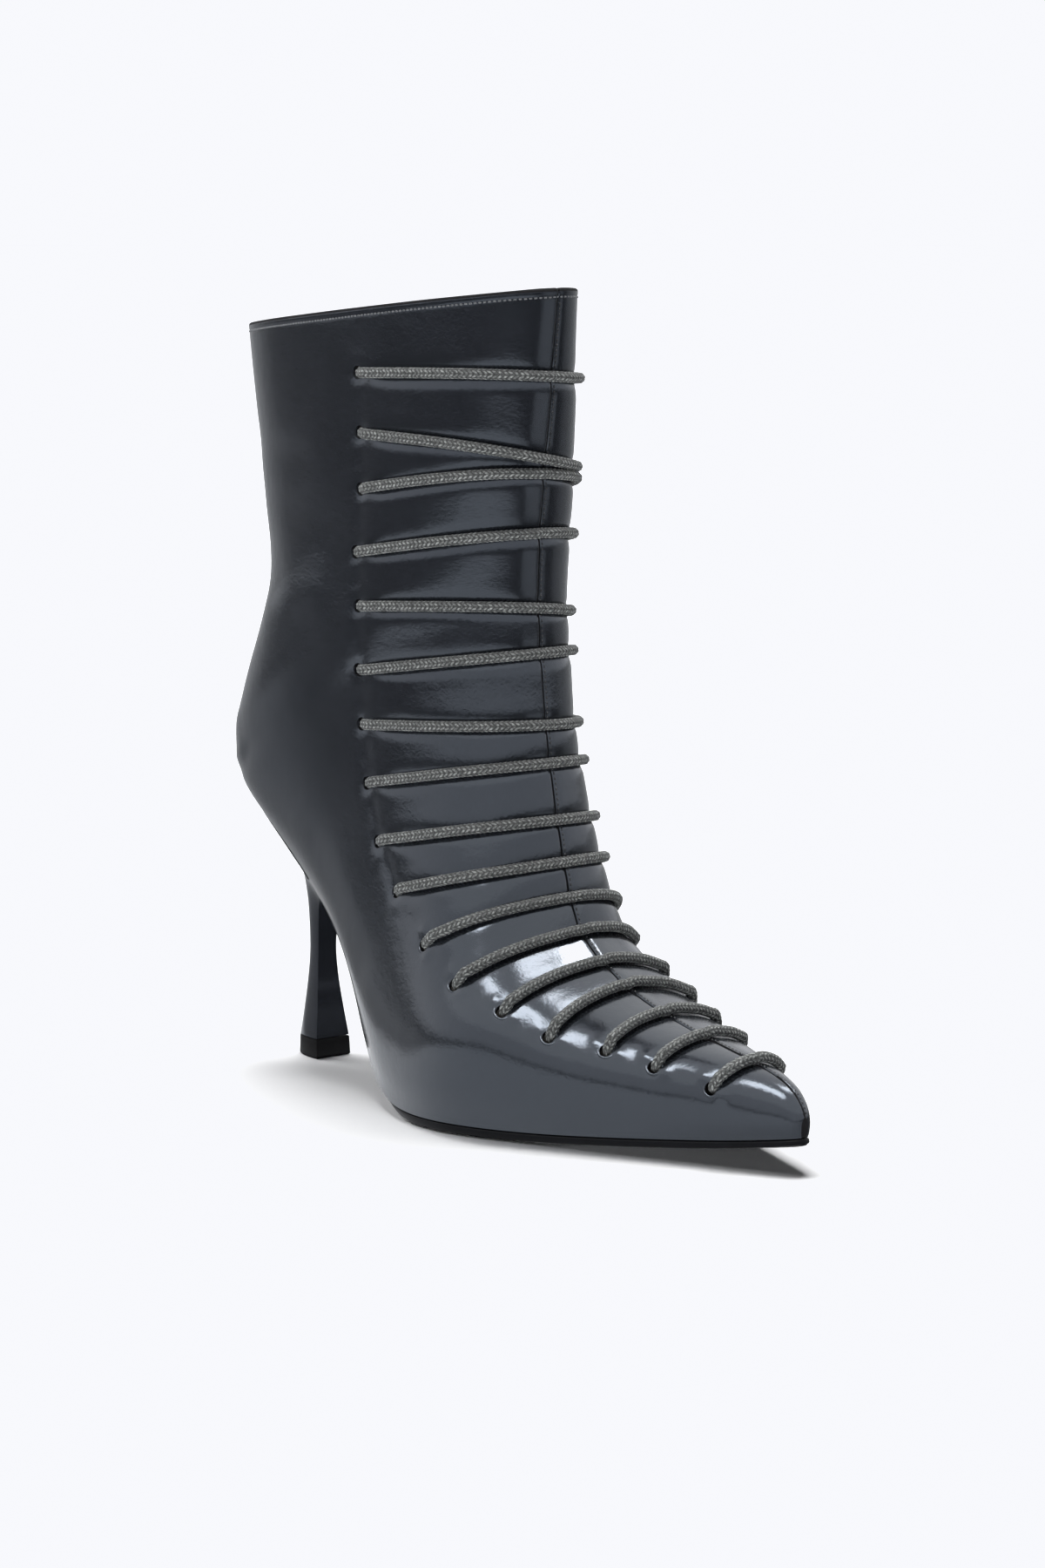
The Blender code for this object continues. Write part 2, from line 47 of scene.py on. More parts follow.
# The last: sections from the tip of the toe to the collar, as the solids have them
SECTION_COLUMNS = (
    "front_x", "front_z", "rear_x", "rear_z", "lateral", "medial", "level",
    "feather_l", "feather_m", "crown_l", "crown_m", "ridge", "fullness", "tuck", "rise",
)
SECTIONS = np.array((
    (222.0, 15.5, 221.6, 10.7, 0.0, 0.0, 0.60, 0.0, 0.0, 0.60, 0.60, 0.08, 0.50, 0.50, 0.30),
    (221.0, 18.2, 220.7, 10.5, 2.7, 2.7, 0.60, 2.2, 2.2, 0.62, 0.66, 0.08, 0.50, 0.50, 0.30),
    (217.5, 22.4, 217.2, 10.0, 5.2, 5.1, 0.62, 4.3, 4.2, 0.66, 0.74, 0.06, 0.50, 0.50, 0.30),
    (210.5, 26.0, 210.0, 9.0, 8.6, 8.4, 0.64, 7.2, 6.9, 0.68, 0.80, 0.04, 0.50, 0.50, 0.30),
    (198.0, 29.2, 197.0, 7.4, 13.6, 13.4, 0.59, 12.0, 11.4, 0.70, 0.80, 0.03, 0.54, 0.50, 0.30),
    (182.0, 32.2, 180.0, 5.8, 20.4, 20.2, 0.58, 18.6, 17.8, 0.72, 0.70, 0.02, 0.55, 0.50, 0.30),
    (163.5, 36.5, 160.0, 4.3, 28.8, 29.2, 0.57, 26.8, 26.4, 0.74, 0.58, 0.02, 0.56, 0.50, 0.30),
    (147.0, 41.6, 138.0, 3.2, 37.6, 37.2, 0.57, 35.4, 33.8, 0.75, 0.50, 0.02, 0.57, 0.50, 0.30),
    (134.2, 48.4, 116.0, 3.2, 45.2, 39.6, 0.58, 43.0, 34.6, 0.76, 0.50, 0.02, 0.57, 0.50, 0.30),
    (124.8, 56.6, 95.0, 3.2, 45.6, 37.0, 0.61, 42.0, 28.0, 0.77, 0.56, 0.02, 0.57, 0.50, 0.30),
    (118.8, 70.5, 76.0, 7.0, 41.8, 33.6, 0.64, 36.2, 20.6, 0.78, 0.66, 0.01, 0.58, 0.52, 0.30),
    (114.4, 87.5, 57.0, 22.0, 36.6, 31.0, 0.67, 28.2, 16.6, 0.78, 0.74, 0.0, 0.58, 0.54, 0.28),
    (110.9, 105.5, 38.0, 44.0, 32.4, 29.4, 0.69, 21.8, 16.4, 0.78, 0.76, 0.0, 0.59, 0.56, 0.25),
    (108.3, 122.5, 17.0, 64.0, 29.8, 28.6, 0.65, 20.6, 18.8, 0.78, 0.80, 0.0, 0.59, 0.58, 0.20),
    (106.7, 137.0, -3.0, 77.0, 29.0, 29.6, 0.62, 18.4, 18.2, 0.78, 0.82, 0.0, 0.59, 0.62, 0.12),
    (106.0, 148.0, -17.0, 84.0, 29.0, 30.0, 0.58, 11.6, 11.6, 0.78, 0.82, 0.0, 0.58, 0.68, 0.04),
    (105.9, 157.0, -23.0, 88.0, 29.4, 30.4, 0.56, 0.0, 0.0, 0.78, 0.80, 0.0, 0.58, 0.74, 0.0),
    (106.4, 167.0, -25.0, 100.0, 29.6, 30.4, 0.54, 0.0, 0.0, 0.78, 0.79, 0.0, 0.58, 0.76, 0.0),
    (107.5, 178.0, -20.4, 118.0, 28.8, 29.8, 0.52, 0.0, 0.0, 0.77, 0.78, 0.0, 0.58, 0.74, 0.0),
    (108.9, 189.5, -12.2, 138.0, 28.4, 28.8, 0.51, 0.0, 0.0, 0.76, 0.76, 0.0, 0.58, 0.71, 0.0),
    (110.4, 201.5, -10.4, 158.0, 28.1, 27.6, 0.50, 0.0, 0.0, 0.74, 0.74, 0.0, 0.58, 0.70, 0.0),
    (112.0, 214.5, -14.4, 180.0, 27.9, 26.8, 0.50, 0.0, 0.0, 0.72, 0.72, 0.0, 0.58, 0.70, 0.0),
    (113.6, 228.0, -18.4, 203.0, 27.8, 26.0, 0.50, 0.0, 0.0, 0.71, 0.71, 0.0, 0.58, 0.70, 0.0),
    (115.2, 242.0, -21.8, 226.0, 27.8, 25.2, 0.50, 0.0, 0.0, 0.70, 0.70, 0.0, 0.58, 0.70, 0.0),
))
BALL = 8
SEAT_BACK = 16
COLLAR = len(SECTIONS) - 1
BREAST = 12.78

HEEL_COLUMNS = ("breast_x", "breast_z", "back_x", "back_z", "half_width")
HEEL_SECTIONS = (
    (19.5, 57.7, -20.4, 84.4, 17.2),
    (16.0, 55.6, -16.4, 79.0, 13.6),
    (11.0, 53.2, -10.0, 68.5, 8.8),
    (7.4, 50.4, -6.0, 59.5, 5.7),
    (5.3, 46.5, -4.2, 51.0, 4.3),
    (4.3, 40.5, -3.4, 42.5, 3.7),
    (3.9, 33.0, -3.2, 33.0, 3.5),
    (4.3, 25.0, -3.9, 25.0, 4.0),
    (5.4, 15.0, -5.5, 15.0, 5.1),
    (6.4, 6.3, -7.1, 6.3, 6.3),
)
HEEL_TIP_SECTIONS = (
    (6.3, 6.0, -7.0, 6.0, 6.2),
    (6.5, 5.7, -7.2, 5.7, 6.4),
    (6.75, 0.5, -7.35, 0.5, 6.55),
    (6.4, 0.0, -7.0, 0.0, 6.2),
)
HEEL_ROUNDNESS = 0.8
HEEL_STEPS = 20         # points from its front to its back, on each side
HEEL_ROWS = 6           # mesh rows from one section to the next
HEEL_CRISP = 40.0       # its edges are crisp past this angle

BAR_COLUMNS = ("outer", "seam", "inner", "turn")
LACE_BARS = (
    (21.91, 21.14, 21.66, 0.46),
    (20.91, 19.23, 20.23, 0.46),
    (19.93, 18.88, 19.63, 0.46),
    (18.69, 17.34, 18.59, 0.45),
    (17.39, 15.06, 16.93, 0.41),
    (15.64, 13.88, 15.63, 0.40),
    (14.08, 12.52, 13.89, 0.41),
    (13.08, 11.89, 13.05, 0.43),
    (12.26, 10.98, 12.23, 0.43),
    (11.49, 10.28, 11.52, 0.41),
    (10.37, 9.65, 10.40, 0.36),
    (9.08, 8.92, 9.36, 0.30),
    (7.76, 7.92, 8.08, 0.27),
    (6.82, 7.09, 7.22, 0.29),
    (5.93, 6.06, 6.18, 0.27),
    (5.14, 5.13, 5.33, 0.28),
    (4.04, 3.82, 4.04, 0.33),
)

# Sizes of the leather and of what is sewn and laced to it
WALL = 1.6
GAP = 0.3
SEAM_STEP = 0.34        # height of the lapped front seam
SEAM_EDGE = 0.35        # width of its edge
SEAM_GROOVE = 0.45      # depth of the groove beside it
SEAM_GROOVE_WIDTH = 0.32
HEM_PLACE = 6.2         # the outer panel stands up over the edge of the hem under it
HEM_HEIGHT = 0.12
HEM_FADE = 5.0
SEAM_CHANNEL = 0.16     # leather pulled in under its stitches
SEAM_CHANNEL_WIDTH = 0.5
SEAM_LINE = 0.24        # half the width of the painted shade line in the seam's groove
LAP_ROLL = 0.3          # the lap is lower behind its rolled edge, by this share
LAP_ROLL_WIDTH = (0.5, 1.2)
LAP_FADE = (2.0, 9.0)   # and sinks back into the leather from here to there
LOW_STEP = 0.8          # above the instep the seam's step is lower, by this share
LOW_STEP_STATIONS = (10.0, 13.0)
HEM_STATIONS = (9.0, 12.0)
SEAM_TOE_WIDTH = (0.5, 8.0)     # half widths of the toe in which the seam starts
RELIEF_TOE_WIDTH = 9.0  # the leather's relief is full from this half width of the toe
WALL_TOE_WIDTH = 7.0    # and its wall from this one
COLLAR_TRIM = 1.2       # the folded edge ends this far below the solid's
COLLAR_BAND = 1.45      # folded edge above the collar's stitches
COLLAR_PUFF = 0.06
COLLAR_GROOVE = 0.07    # depth of the groove under its stitches
COLLAR_GROOVE_WIDTH = 0.45
CORD_RADIUS = 1.62
CORD_LIFT = 0.15        # clearance of a cord over the leather
CORD_BEND = 2.6         # length in which it turns into its hole
CORD_DIP = 0.3          # its middle at the hole, below the leather
CORD_SINK = 1.7         # and at its end
HOLE_RADIUS = 2.0
HOLE_SHIFT = 0.75       # the cord leans on the inner edge of its hole
HOLE_SIDES = 18
HOLE_DIP = 0.35         # leather drawn in at a hole
HOLE_DIP_WIDTH = 3.0
PUNCH_DEPTH = 9.0       # length of the tool that cuts a hole
LIP_RADIUS = 2.28       # leather rolled up round a hole
LIP_THICKNESS = 0.42
LIP_STRETCH = 1.12      # wider across the cord
LIP_SINK = 0.12
SHAFT_CORDS = 10        # cords above the instep
PUCKER = 0.2            # lumps above and below a hole of the shaft
TOE_PUCKER = 0.55       # and of the front
PUCKER_PLACE = 3.9
PUCKER_WIDTH = 1.9
ROW_FOLD = 0.30         # fold down the shaft, along its holes
ROW_FOLD_WIDTH = 2.2
PUFF = 0.55             # leather between two cords, at most
PUFF_SHARE = 0.042      # and as a share of the gap between them
TOE_PUFF = 0.45         # over the toes, only this share of it
TOE_CORDS = 13          # cords above the toes
PUFF_RISE = 0.26        # its shape, in shares of the gap: out to here,
PUFF_SLOPE = 0.62       # lower by this much on the way,
PUFF_FALL = 0.86        # and back from here
TROUGH = 0.45           # depth of the leather under a cord
TROUGH_WIDTH = 2.7
TROUGH_REACH = (75.0, 65.0)     # it fades this far from the seam
STITCH_PITCH = 1.5
STITCH_LENGTH = 0.92
STITCH_RADIUS = 0.27
STITCH_BEVEL = 0.16
STITCH_BEND = 0.22      # its ends go down into the leather
COLLAR_STITCH_DROP = 0.25
COLLAR_STITCH_LIFT = 0.14
SEAM_STITCH_LIFT = 0.06
SEAM_STITCHES = 0.85    # distance of the stitches from the front seam
SOLE_AT_BALL = 3.0
SOLE_AT_TOE = 1.8
SOLE_AT_WAIST = 2.4
SOLE_LIP = 0.3
SOLE_BEVEL = 0.6
SOLE_TUCK = 2.2         # the sole's edge is drawn in under the waist
SOCK_THICKNESS = 1.8
SOCK_INSET = 3.4
SOCK_BEVEL = 0.8
UNDERSIDE_INSET = 9.0   # width of the curve at a layer's lower edge
UNDERSIDE_SHARE = 0.35  # and the least half width of its flat part

# Soft creases and swells: a line between two places on the leather, with how far
# it stands out (or sinks in, below zero), its half width and the sides that have it
OUTER, INNER = -1, 1
CREASE_COLUMNS = ("from_station", "from_turn", "to_station", "to_turn", "height", "half_width", "sides")
CREASES = (
    (16.9, 0.82, 16.2, 0.825, 0.80, 6.0, (OUTER, INNER)),
    (16.05, 0.77, 15.95, 0.89, 0.75, 4.0, (OUTER, INNER)),
    (16.02, 0.74, 15.96, 0.92, 0.20, 2.0, (OUTER, INNER)),
    (19.7, 0.94, 19.1, 0.70, -0.25, 7.0, (OUTER, INNER)),
    (18.7, 0.72, 18.4, 0.54, 0.50, 9.0, (OUTER, INNER)),
    (20.6, 0.88, 20.0, 0.70, 0.25, 6.5, (OUTER,)),
    (21.6, 0.90, 20.9, 0.62, -0.25, 6.0, (OUTER,)),
    (20.8, 0.92, 20.1, 0.66, 0.30, 6.0, (INNER,)),
    (11.3, 0.62, 12.9, 0.66, -0.25, 6.0, (OUTER, INNER)),
    (9.8, 0.52, 10.9, 0.60, 0.20, 6.0, (OUTER,)),
)
UNEVENNESS = 0.035      # slight waves all over the leather: direction and length, then start
WAVES = (
    ((0.11, 0.05, 0.16), 0.4), ((-0.07, 0.13, 0.09), 2.1),
    ((0.17, -0.11, -0.06), 4.0), ((0.05, 0.19, -0.15), 1.2),
)


# The last's surface

def spline_bends(rows):
    """Second differences that make a smooth curve through the rows of a table."""
    count = len(rows)
    system = np.eye(count)
    change = np.zeros_like(rows)
    for i in range(1, count - 1):
        system[i, i - 1:i + 2] = (1.0, 4.0, 1.0)
        change[i] = 6.0 * (rows[i - 1] - 2.0 * rows[i] + rows[i + 1])
    return np.linalg.solve(system, change)


SECTION_BENDS = spline_bends(SECTIONS)


def sections_at(stations):
    """The sizes of the sections at places along the table, by column name."""
    stations = np.asarray(stations, dtype=float)
    index = np.minimum(stations.astype(int), COLLAR - 1)
    after = (stations - index)[..., None]
    before = 1.0 - after
    values = (before * SECTIONS[index] + after * SECTIONS[index + 1]
              + (before ** 3 - before) * SECTION_BENDS[index] / 6.0
              + (after ** 3 - after) * SECTION_BENDS[index + 1] / 6.0)
    section = {name: values[..., i] for i, name in enumerate(SECTION_COLUMNS)}
    for name in ("lateral", "medial", "feather_l", "feather_m", "rise"):
        section[name] = np.maximum(section[name], 0.0)
    for name in ("feather_l", "feather_m", "rise"):
        section[name] = np.where(stations >= SEAT_BACK, 0.0, section[name])
    return section


def cubic(a, b, c, d, t):
    """A cubic curve's value."""
    s = 1.0 - t
    return s ** 3 * a + 3.0 * s * s * t * b + 3.0 * s * t * t * c + t ** 3 * d


def last_points(stations, turns):
    """Points of the upper's outer surface: turn is -1 at the outer rear, 0 at the seam, 1 inner."""
    stations, turns = np.broadcast_arrays(np.asarray(stations, float), np.asarray(turns, float))
    section = sections_at(stations)
    outer = turns < 0.0
    width = np.where(outer, section["lateral"], section["medial"])
    end = np.where(outer, section["feather_l"], section["feather_m"])
    crown = np.where(outer, section["crown_l"], section["crown_m"])
    run_x = section["rear_x"] - section["front_x"]
    run_z = section["rear_z"] - section["front_z"]
    run = np.hypot(run_x, run_z)
    widest = section["level"] * run
    below = run - widest
    full = section["fullness"]
    t = np.abs(turns)
    first = np.clip(2.0 * t, 0.0, 1.0)
    second = np.clip(2.0 * t - 1.0, 0.0, 1.0)
    along = np.where(
        t <= 0.5,
        cubic(0.0, section["ridge"] * widest, widest * (1.0 - full), widest, first),
        cubic(widest, widest + full * below, run - section["rise"] * below, run, second))
    across = np.where(
        t <= 0.5,
        cubic(0.0, crown * width, width, width, first),
        cubic(width, width, end + section["tuck"] * (width - end), end, second))
    return np.stack((
        section["front_x"] + run_x / run * along,
        np.where(outer, -across, across),
        section["front_z"] + run_z / run * along), axis=-1)


def last_normals(stations, turns, step=0.01):
    """Outward directions of the upper's surface."""
    ahead = last_points(np.minimum(stations + step, COLLAR), turns)
    behind = last_points(np.maximum(stations - step, 0.0), turns)
    left = last_points(stations, np.maximum(turns - step, -1.0))
    right = last_points(stations, np.minimum(turns + step, 1.0))
    normal = np.cross(right - left, ahead - behind)
    return normal / np.maximum(np.linalg.norm(normal, axis=-1, keepdims=True), 1e-9)


def seam_distance(stations, turns):
    """Distance from the front seam, measured over the leather, near the seam."""
    section = sections_at(stations)
    turns = np.asarray(turns)
    width = np.where(turns < 0.0, section["lateral"] * section["crown_l"],
                     section["medial"] * section["crown_m"])
    return 6.0 * width * np.abs(turns)


def smooth_step(low, high, x):
    """0 below low, 1 above high, and smooth between them."""
    t = np.clip((x - low) / (high - low), 0.0, 1.0)
    return t * t * (3.0 - 2.0 * t)


def line_distance(points, line):
    """Distance from each point to a line of straight pieces."""
    nearest = np.full(points.shape[:-1], np.inf)
    for a, b in zip(line[:-1], line[1:]):
        along = b - a
        share = np.clip((points - a) @ along / np.dot(along, along), 0.0, 1.0)
        gap = points - a - share[..., None] * along
        nearest = np.minimum(nearest, np.einsum("...i,...i", gap, gap))
    return np.sqrt(nearest)


# The lace's places

def named(columns, rows):
    """The rows of a table as dictionaries."""
    return [dict(zip(columns, row)) for row in rows]


def laced_bars():
    """The cords, each with its two holes and the plane through them and its seam crossing."""
    bars = named(BAR_COLUMNS, LACE_BARS)
    for bar in bars:
        seam = last_points(bar["seam"], 0.0)
        outer = last_points(bar["outer"], -bar["turn"])
        inner = last_points(bar["inner"], bar["turn"])
        flat = np.cross(outer - seam, inner - seam)
        upwards = last_points(bar["seam"] + 0.1, 0.0) - seam
        bar["point"] = seam
        bar["plane"] = flat * np.sign(np.dot(flat, upwards)) / np.linalg.norm(flat)
        bar["holes"] = {OUTER: outer, INNER: inner}
    return bars


BARS = laced_bars()


def bar_places(bar, count):
    """Stations and turns along one cord, in the plane of its two holes and its seam crossing."""
    turns = np.linspace(-bar["turn"], bar["turn"], count)
    ends = np.where(turns < 0.0, bar["outer"], bar["inner"])
    guess = bar["seam"] + (ends - bar["seam"]) * np.abs(turns) / bar["turn"]
    low = np.maximum(guess - 1.5, 0.0)
    high = np.minimum(guess + 1.5, COLLAR)

    def height(stations):
        return (last_points(stations, turns) - bar["point"]) @ bar["plane"]

    rising = height(high) > height(low)
    for _ in range(30):
        middle = 0.5 * (low + high)
        above = (height(middle) > 0.0) == rising
        high = np.where(above, middle, high)
        low = np.where(above, low, middle)
    return 0.5 * (low + high), turns


# Relief of the leather

def puff_profile(share):
    """Leather between two cords: out quickly under the upper one, back slowly to the lower one."""
    rise = smooth_step(0.0, PUFF_RISE, share) * (1.0 - PUFF_SLOPE * share)
    return rise * (1.0 - smooth_step(PUFF_FALL, 1.0, share))


def bell(away, width):
    """1 at no distance, fading softly over a half width."""
    return np.exp(-(away / width) ** 2)


def hole_relief(points, side):
    """Leather drawn in at the holes of a side, with lumps beside them and a fold down the shaft."""
    relief = np.zeros(points.shape[:-1])
    for number, bar in enumerate(BARS, start=1):
        hole = bar["holes"][side]
        relief -= HOLE_DIP * bell(np.linalg.norm(points - hole, axis=-1), HOLE_DIP_WIDTH)
        pucker = TOE_PUCKER if number > SHAFT_CORDS else PUCKER
        for way in (-1.0, 1.0):
            lump = hole + bar["plane"] * way * PUCKER_PLACE
            relief += pucker * bell(np.linalg.norm(points - lump, axis=-1), PUCKER_WIDTH)
    row = np.array([bar["holes"][side] for bar in BARS[:SHAFT_CORDS]])
    return relief - ROW_FOLD * bell(line_distance(points, row), ROW_FOLD_WIDTH)


def ladder_relief(points, stations, turns):
    """Leather pressed in under the cords, puffed up between them, puckered at the holes."""
    above = np.array([(points - bar["point"]) @ bar["plane"] for bar in BARS])
    puff = np.zeros(turns.shape)
    for number, (upper_cord, lower_cord) in enumerate(zip(above[:-1], above[1:]), start=1):
        between = (upper_cord <= 0.0) & (lower_cord > 0.0)
        gap = np.maximum(lower_cord - upper_cord, 0.001)
        height = np.minimum(PUFF, PUFF_SHARE * gap) * (TOE_PUFF if number > TOE_CORDS else 1.0)
        puff = np.where(between, height * puff_profile(-upper_cord / gap), puff)
    relief = np.zeros(turns.shape)
    for bar, off in zip(BARS, above):
        reach = 1.0 - smooth_step(bar["turn"] - 0.08, bar["turn"] - 0.01, np.abs(turns))
        near = smooth_step(*TROUGH_REACH, np.linalg.norm(points - bar["point"], axis=-1))
        relief = np.minimum(relief, -TROUGH * near * reach * bell(off, TROUGH_WIDTH))
    for side, end in ((OUTER, "outer"), (INNER, "inner")):
        mine = (turns < 0.0) if side == OUTER else (turns >= 0.0)
        places = np.array([bar[end] for bar in BARS])[::-1]
        reach = np.array([bar["turn"] for bar in BARS])[::-1]
        inside = 1.0 - smooth_step(-0.06, 0.01, np.abs(turns) - np.interp(stations, places, reach))
        relief += mine * (inside * puff + hole_relief(points, side))
    return relief


def crease_relief(points):
    """The creases and swells of the table, and a slight unevenness all over."""
    relief = np.zeros(points.shape[:-1])
    share = np.linspace(0.0, 1.0, 9)
    for crease in named(CREASE_COLUMNS, CREASES):
        stations = crease["from_station"] + (crease["to_station"] - crease["from_station"]) * share
        turns = crease["from_turn"] + (crease["to_turn"] - crease["from_turn"]) * share
        for side in crease["sides"]:
            away = line_distance(points, last_points(stations, side * turns))
            relief += crease["height"] * bell(away, crease["half_width"])
    for wave, start in WAVES:
        relief += UNEVENNESS * np.sin(points @ np.array(wave) + start)
    return relief


def seam_relief(stations, turns):
    """The lapped front seam: a groove, a rolled edge on the inner side and the stitches' channel."""
    away = seam_distance(stations, turns)
    full = smooth_step(*SEAM_TOE_WIDTH, sections_at(stations)["medial"])
    lap = smooth_step(0.0, SEAM_EDGE, away) * (1.0 - LAP_ROLL * smooth_step(*LAP_ROLL_WIDTH, away))
    lap = lap * (1.0 - smooth_step(*LAP_FADE, away))
    channel = SEAM_CHANNEL * bell(away - SEAM_STITCHES, SEAM_CHANNEL_WIDTH)
    groove = SEAM_GROOVE * bell(away, SEAM_GROOVE_WIDTH)
    hem = np.where(away < HEM_PLACE, away / HEM_PLACE, bell(away - HEM_PLACE, HEM_FADE))
    hem = HEM_HEIGHT * hem * smooth_step(*HEM_STATIONS, stations)
    step = SEAM_STEP * (1.0 - LOW_STEP * smooth_step(*LOW_STEP_STATIONS, stations))
    return full * (np.where(turns > 0.0, step * lap - channel, hem) - groove)


def collar_distance(stations, turns):
    """Distance below the collar's edge, measured over the leather."""
    near = last_points(COLLAR - 0.1, turns)
    top = last_points(float(COLLAR), turns)
    per_station = np.linalg.norm(top - near, axis=-1) / 0.1
    return (COLLAR - stations) * per_station - COLLAR_TRIM


def collar_relief(stations, turns):
    """The folded band at the collar, with the groove that its stitches pull."""
    away = collar_distance(stations, turns)
    band = 1.0 - smooth_step(COLLAR_BAND - 0.4, COLLAR_BAND, away)
    return COLLAR_PUFF * band - COLLAR_GROOVE * bell(away - COLLAR_BAND, COLLAR_GROOVE_WIDTH)


def leather(stations, turns):
    """Points of the dressed leather surface, and the outward directions there."""
    stations, turns = np.broadcast_arrays(np.asarray(stations, float), np.asarray(turns, float))
    points = last_points(stations, turns)
    normals = last_normals(stations, turns)
    relief = ladder_relief(points, stations, turns) + crease_relief(points)
    section = sections_at(stations)
    slim = smooth_step(0.0, RELIEF_TOE_WIDTH, np.minimum(section["lateral"], section["medial"]))
    edge = np.maximum(smooth_step(1.0, 0.9, np.abs(turns)),
                      smooth_step(SEAT_BACK - 1.5, SEAT_BACK - 0.1, stations))
    relief = relief * slim * edge + seam_relief(stations, turns) + collar_relief(stations, turns)
    return points + normals * relief[..., None], normals


# Meshes

def select_none():
    """Deselect everything, so that an operator acts only on what is made next."""
    if bpy.context.object and bpy.context.object.mode != "OBJECT":
        bpy.ops.object.mode_set(mode="OBJECT")
    bpy.ops.object.select_all(action="DESELECT")


def make_active(piece):
    """Select one object alone."""
    select_none()
    piece.select_set(True)
    bpy.context.view_layer.objects.active = piece


def new_piece(name, points, faces, *materials):
    """An object from points in millimetres. A point that a face names twice counts once."""
    faces = [tuple(dict.fromkeys(face)) for face in faces]
    mesh = bpy.data.meshes.new(name)
    mesh.from_pydata((np.asarray(points) * MM).tolist(), [], [face for face in faces if len(face) > 2])
    for material in materials:
        mesh.materials.append(material)
    piece = bpy.data.objects.new(name, mesh)
    bpy.context.scene.collection.objects.link(piece)
    return piece


def turn_outwards(piece, weld=0.0):
    """Turn a closed piece's faces outwards, after welding points within a distance in millimetres."""
    shape = bmesh.new()
    shape.from_mesh(piece.data)
    if weld:
        bmesh.ops.remove_doubles(shape, verts=shape.verts, dist=weld * MM)
        bmesh.ops.dissolve_degenerate(shape, edges=shape.edges, dist=0.5 * weld * MM)
        bmesh.ops.recalc_face_normals(shape, faces=shape.faces)
    if shape.calc_volume(signed=True) < 0.0:
        bmesh.ops.reverse_faces(shape, faces=shape.faces)
    shape.to_mesh(piece.data)
    shape.free()


def closed_piece(name, points, faces, material, crisp=35.0):
    """A closed piece, shaded smooth up to an angle."""
    piece = new_piece(name, points, faces, material)
    turn_outwards(piece, 0.005)
    finish_shading(piece, crisp)
    return piece


def finish_shading(piece, crisp):
    """Smooth shading, with crisp edges where the surface turns by more than an angle."""
    make_active(piece)
    bpy.ops.object.shade_smooth_by_angle(angle=math.radians(crisp))


def apply_modifier(piece, kind, **settings):
    """Add a modifier, set it up and apply it."""
    make_active(piece)
    modifier = piece.modifiers.new(kind.lower(), kind)
    for name, value in settings.items():
        setattr(modifier, name, value)
    bpy.ops.object.modifier_apply(modifier=modifier.name)


def join(name, pieces):
    """Several objects as one."""
    make_active(pieces[0])
    for piece in pieces:
        piece.select_set(True)
    bpy.ops.object.join()
    joined = bpy.context.object
    joined.name = name
    joined.data.name = name
    return joined


def quads(first, rows, columns, wrap=False):
    """Faces of a grid whose points start at an index."""
    faces = []
    last = columns if wrap else columns - 1
    for row in range(rows - 1):
        for i in range(last):
            k = (i + 1) % columns
            a = first + row * columns
            faces.append((a + i, a + k, a + columns + k, a + columns + i))
    return faces


def zip_faces(fine, coarse):
    """Faces between a line of points and a line with fewer of them."""
    ratio = (len(fine) - 1) // (len(coarse) - 1)
    half = ratio // 2
    faces = []
    for i in range(len(coarse) - 1):
        run = fine[i * ratio:(i + 1) * ratio + 1]
        for j in range(ratio):
            faces.append((run[j], run[j + 1], coarse[i] if j < half else coarse[i + 1]))
        faces.append((run[half], coarse[i + 1], coarse[i]))
    return faces


# The upper

RATIO = 4               # outer mesh steps for each step of the lining's mesh
BAND_START = 22.0       # the rows are finer from this station up
ROWS_BELOW = 296        # outer mesh rows from the toe to there
ROWS_UNDER_BAND = 8
BAND_PLACES = (4.4, 3.5, 2.7, 2.15, 1.8, 1.55, 1.35, 1.15, 0.9, 0.6, 0.3, 0.0)
SEAM_TURNS = (0.0, 0.0016, 0.004, 0.008, 0.0135, 0.021)
TURN_STEPS = 118        # columns from there to the rear, on each side
FOLD_STEPS = 4


def upper_grid():
    """Stations and turns of the upper's mesh: even over the leather, fine at seam and collar."""
    tries = np.linspace(0.0, BAND_START, 441)
    steps = 0.0
    for turn in (-1.0, -0.5, -0.25, 0.0, 0.25, 0.5, 1.0):
        path = last_points(tries, turn)
        steps = steps + np.linalg.norm(np.diff(path, axis=0), axis=1)
    length = np.concatenate(((0.0,), np.cumsum(steps)))
    seat = np.interp(SEAT_BACK, tries, length)
    seat_row = RATIO * round(ROWS_BELOW * seat / length[-1] / RATIO)
    places = np.concatenate((np.linspace(0.0, seat, seat_row + 1)[:-1],
                             np.linspace(seat, length[-1], ROWS_BELOW - seat_row + 1)))
    low = np.interp(places, length, tries)
    low[seat_row] = SEAT_BACK
    half = np.concatenate((SEAM_TURNS, np.linspace(0.03, 1.0, TURN_STEPS - 3)))
    turns = np.concatenate((-half[:0:-1], half))
    rows = [np.full(turns.shape, station) for station in low]
    per_station = collar_distance(COLLAR - 1.0, turns) + COLLAR_TRIM
    top = COLLAR - (BAND_PLACES[0] + 0.8 + COLLAR_TRIM) / per_station
    for share in np.linspace(0.0, 1.0, ROWS_UNDER_BAND + 1)[1:]:
        rows.append(BAND_START + (top - BAND_START) * share)
    for place in BAND_PLACES:
        rows.append(COLLAR - (place + COLLAR_TRIM) / per_station)
    stations = np.array(rows)
    return stations, np.broadcast_to(turns, stations.shape)


def close_rear(points, rings):
    """Make the two rear edges of the shaft's rings meet."""
    mean = 0.5 * (points[rings, 0] + points[rings, -1])
    points[rings, 0] = mean
    points[rings, -1] = mean


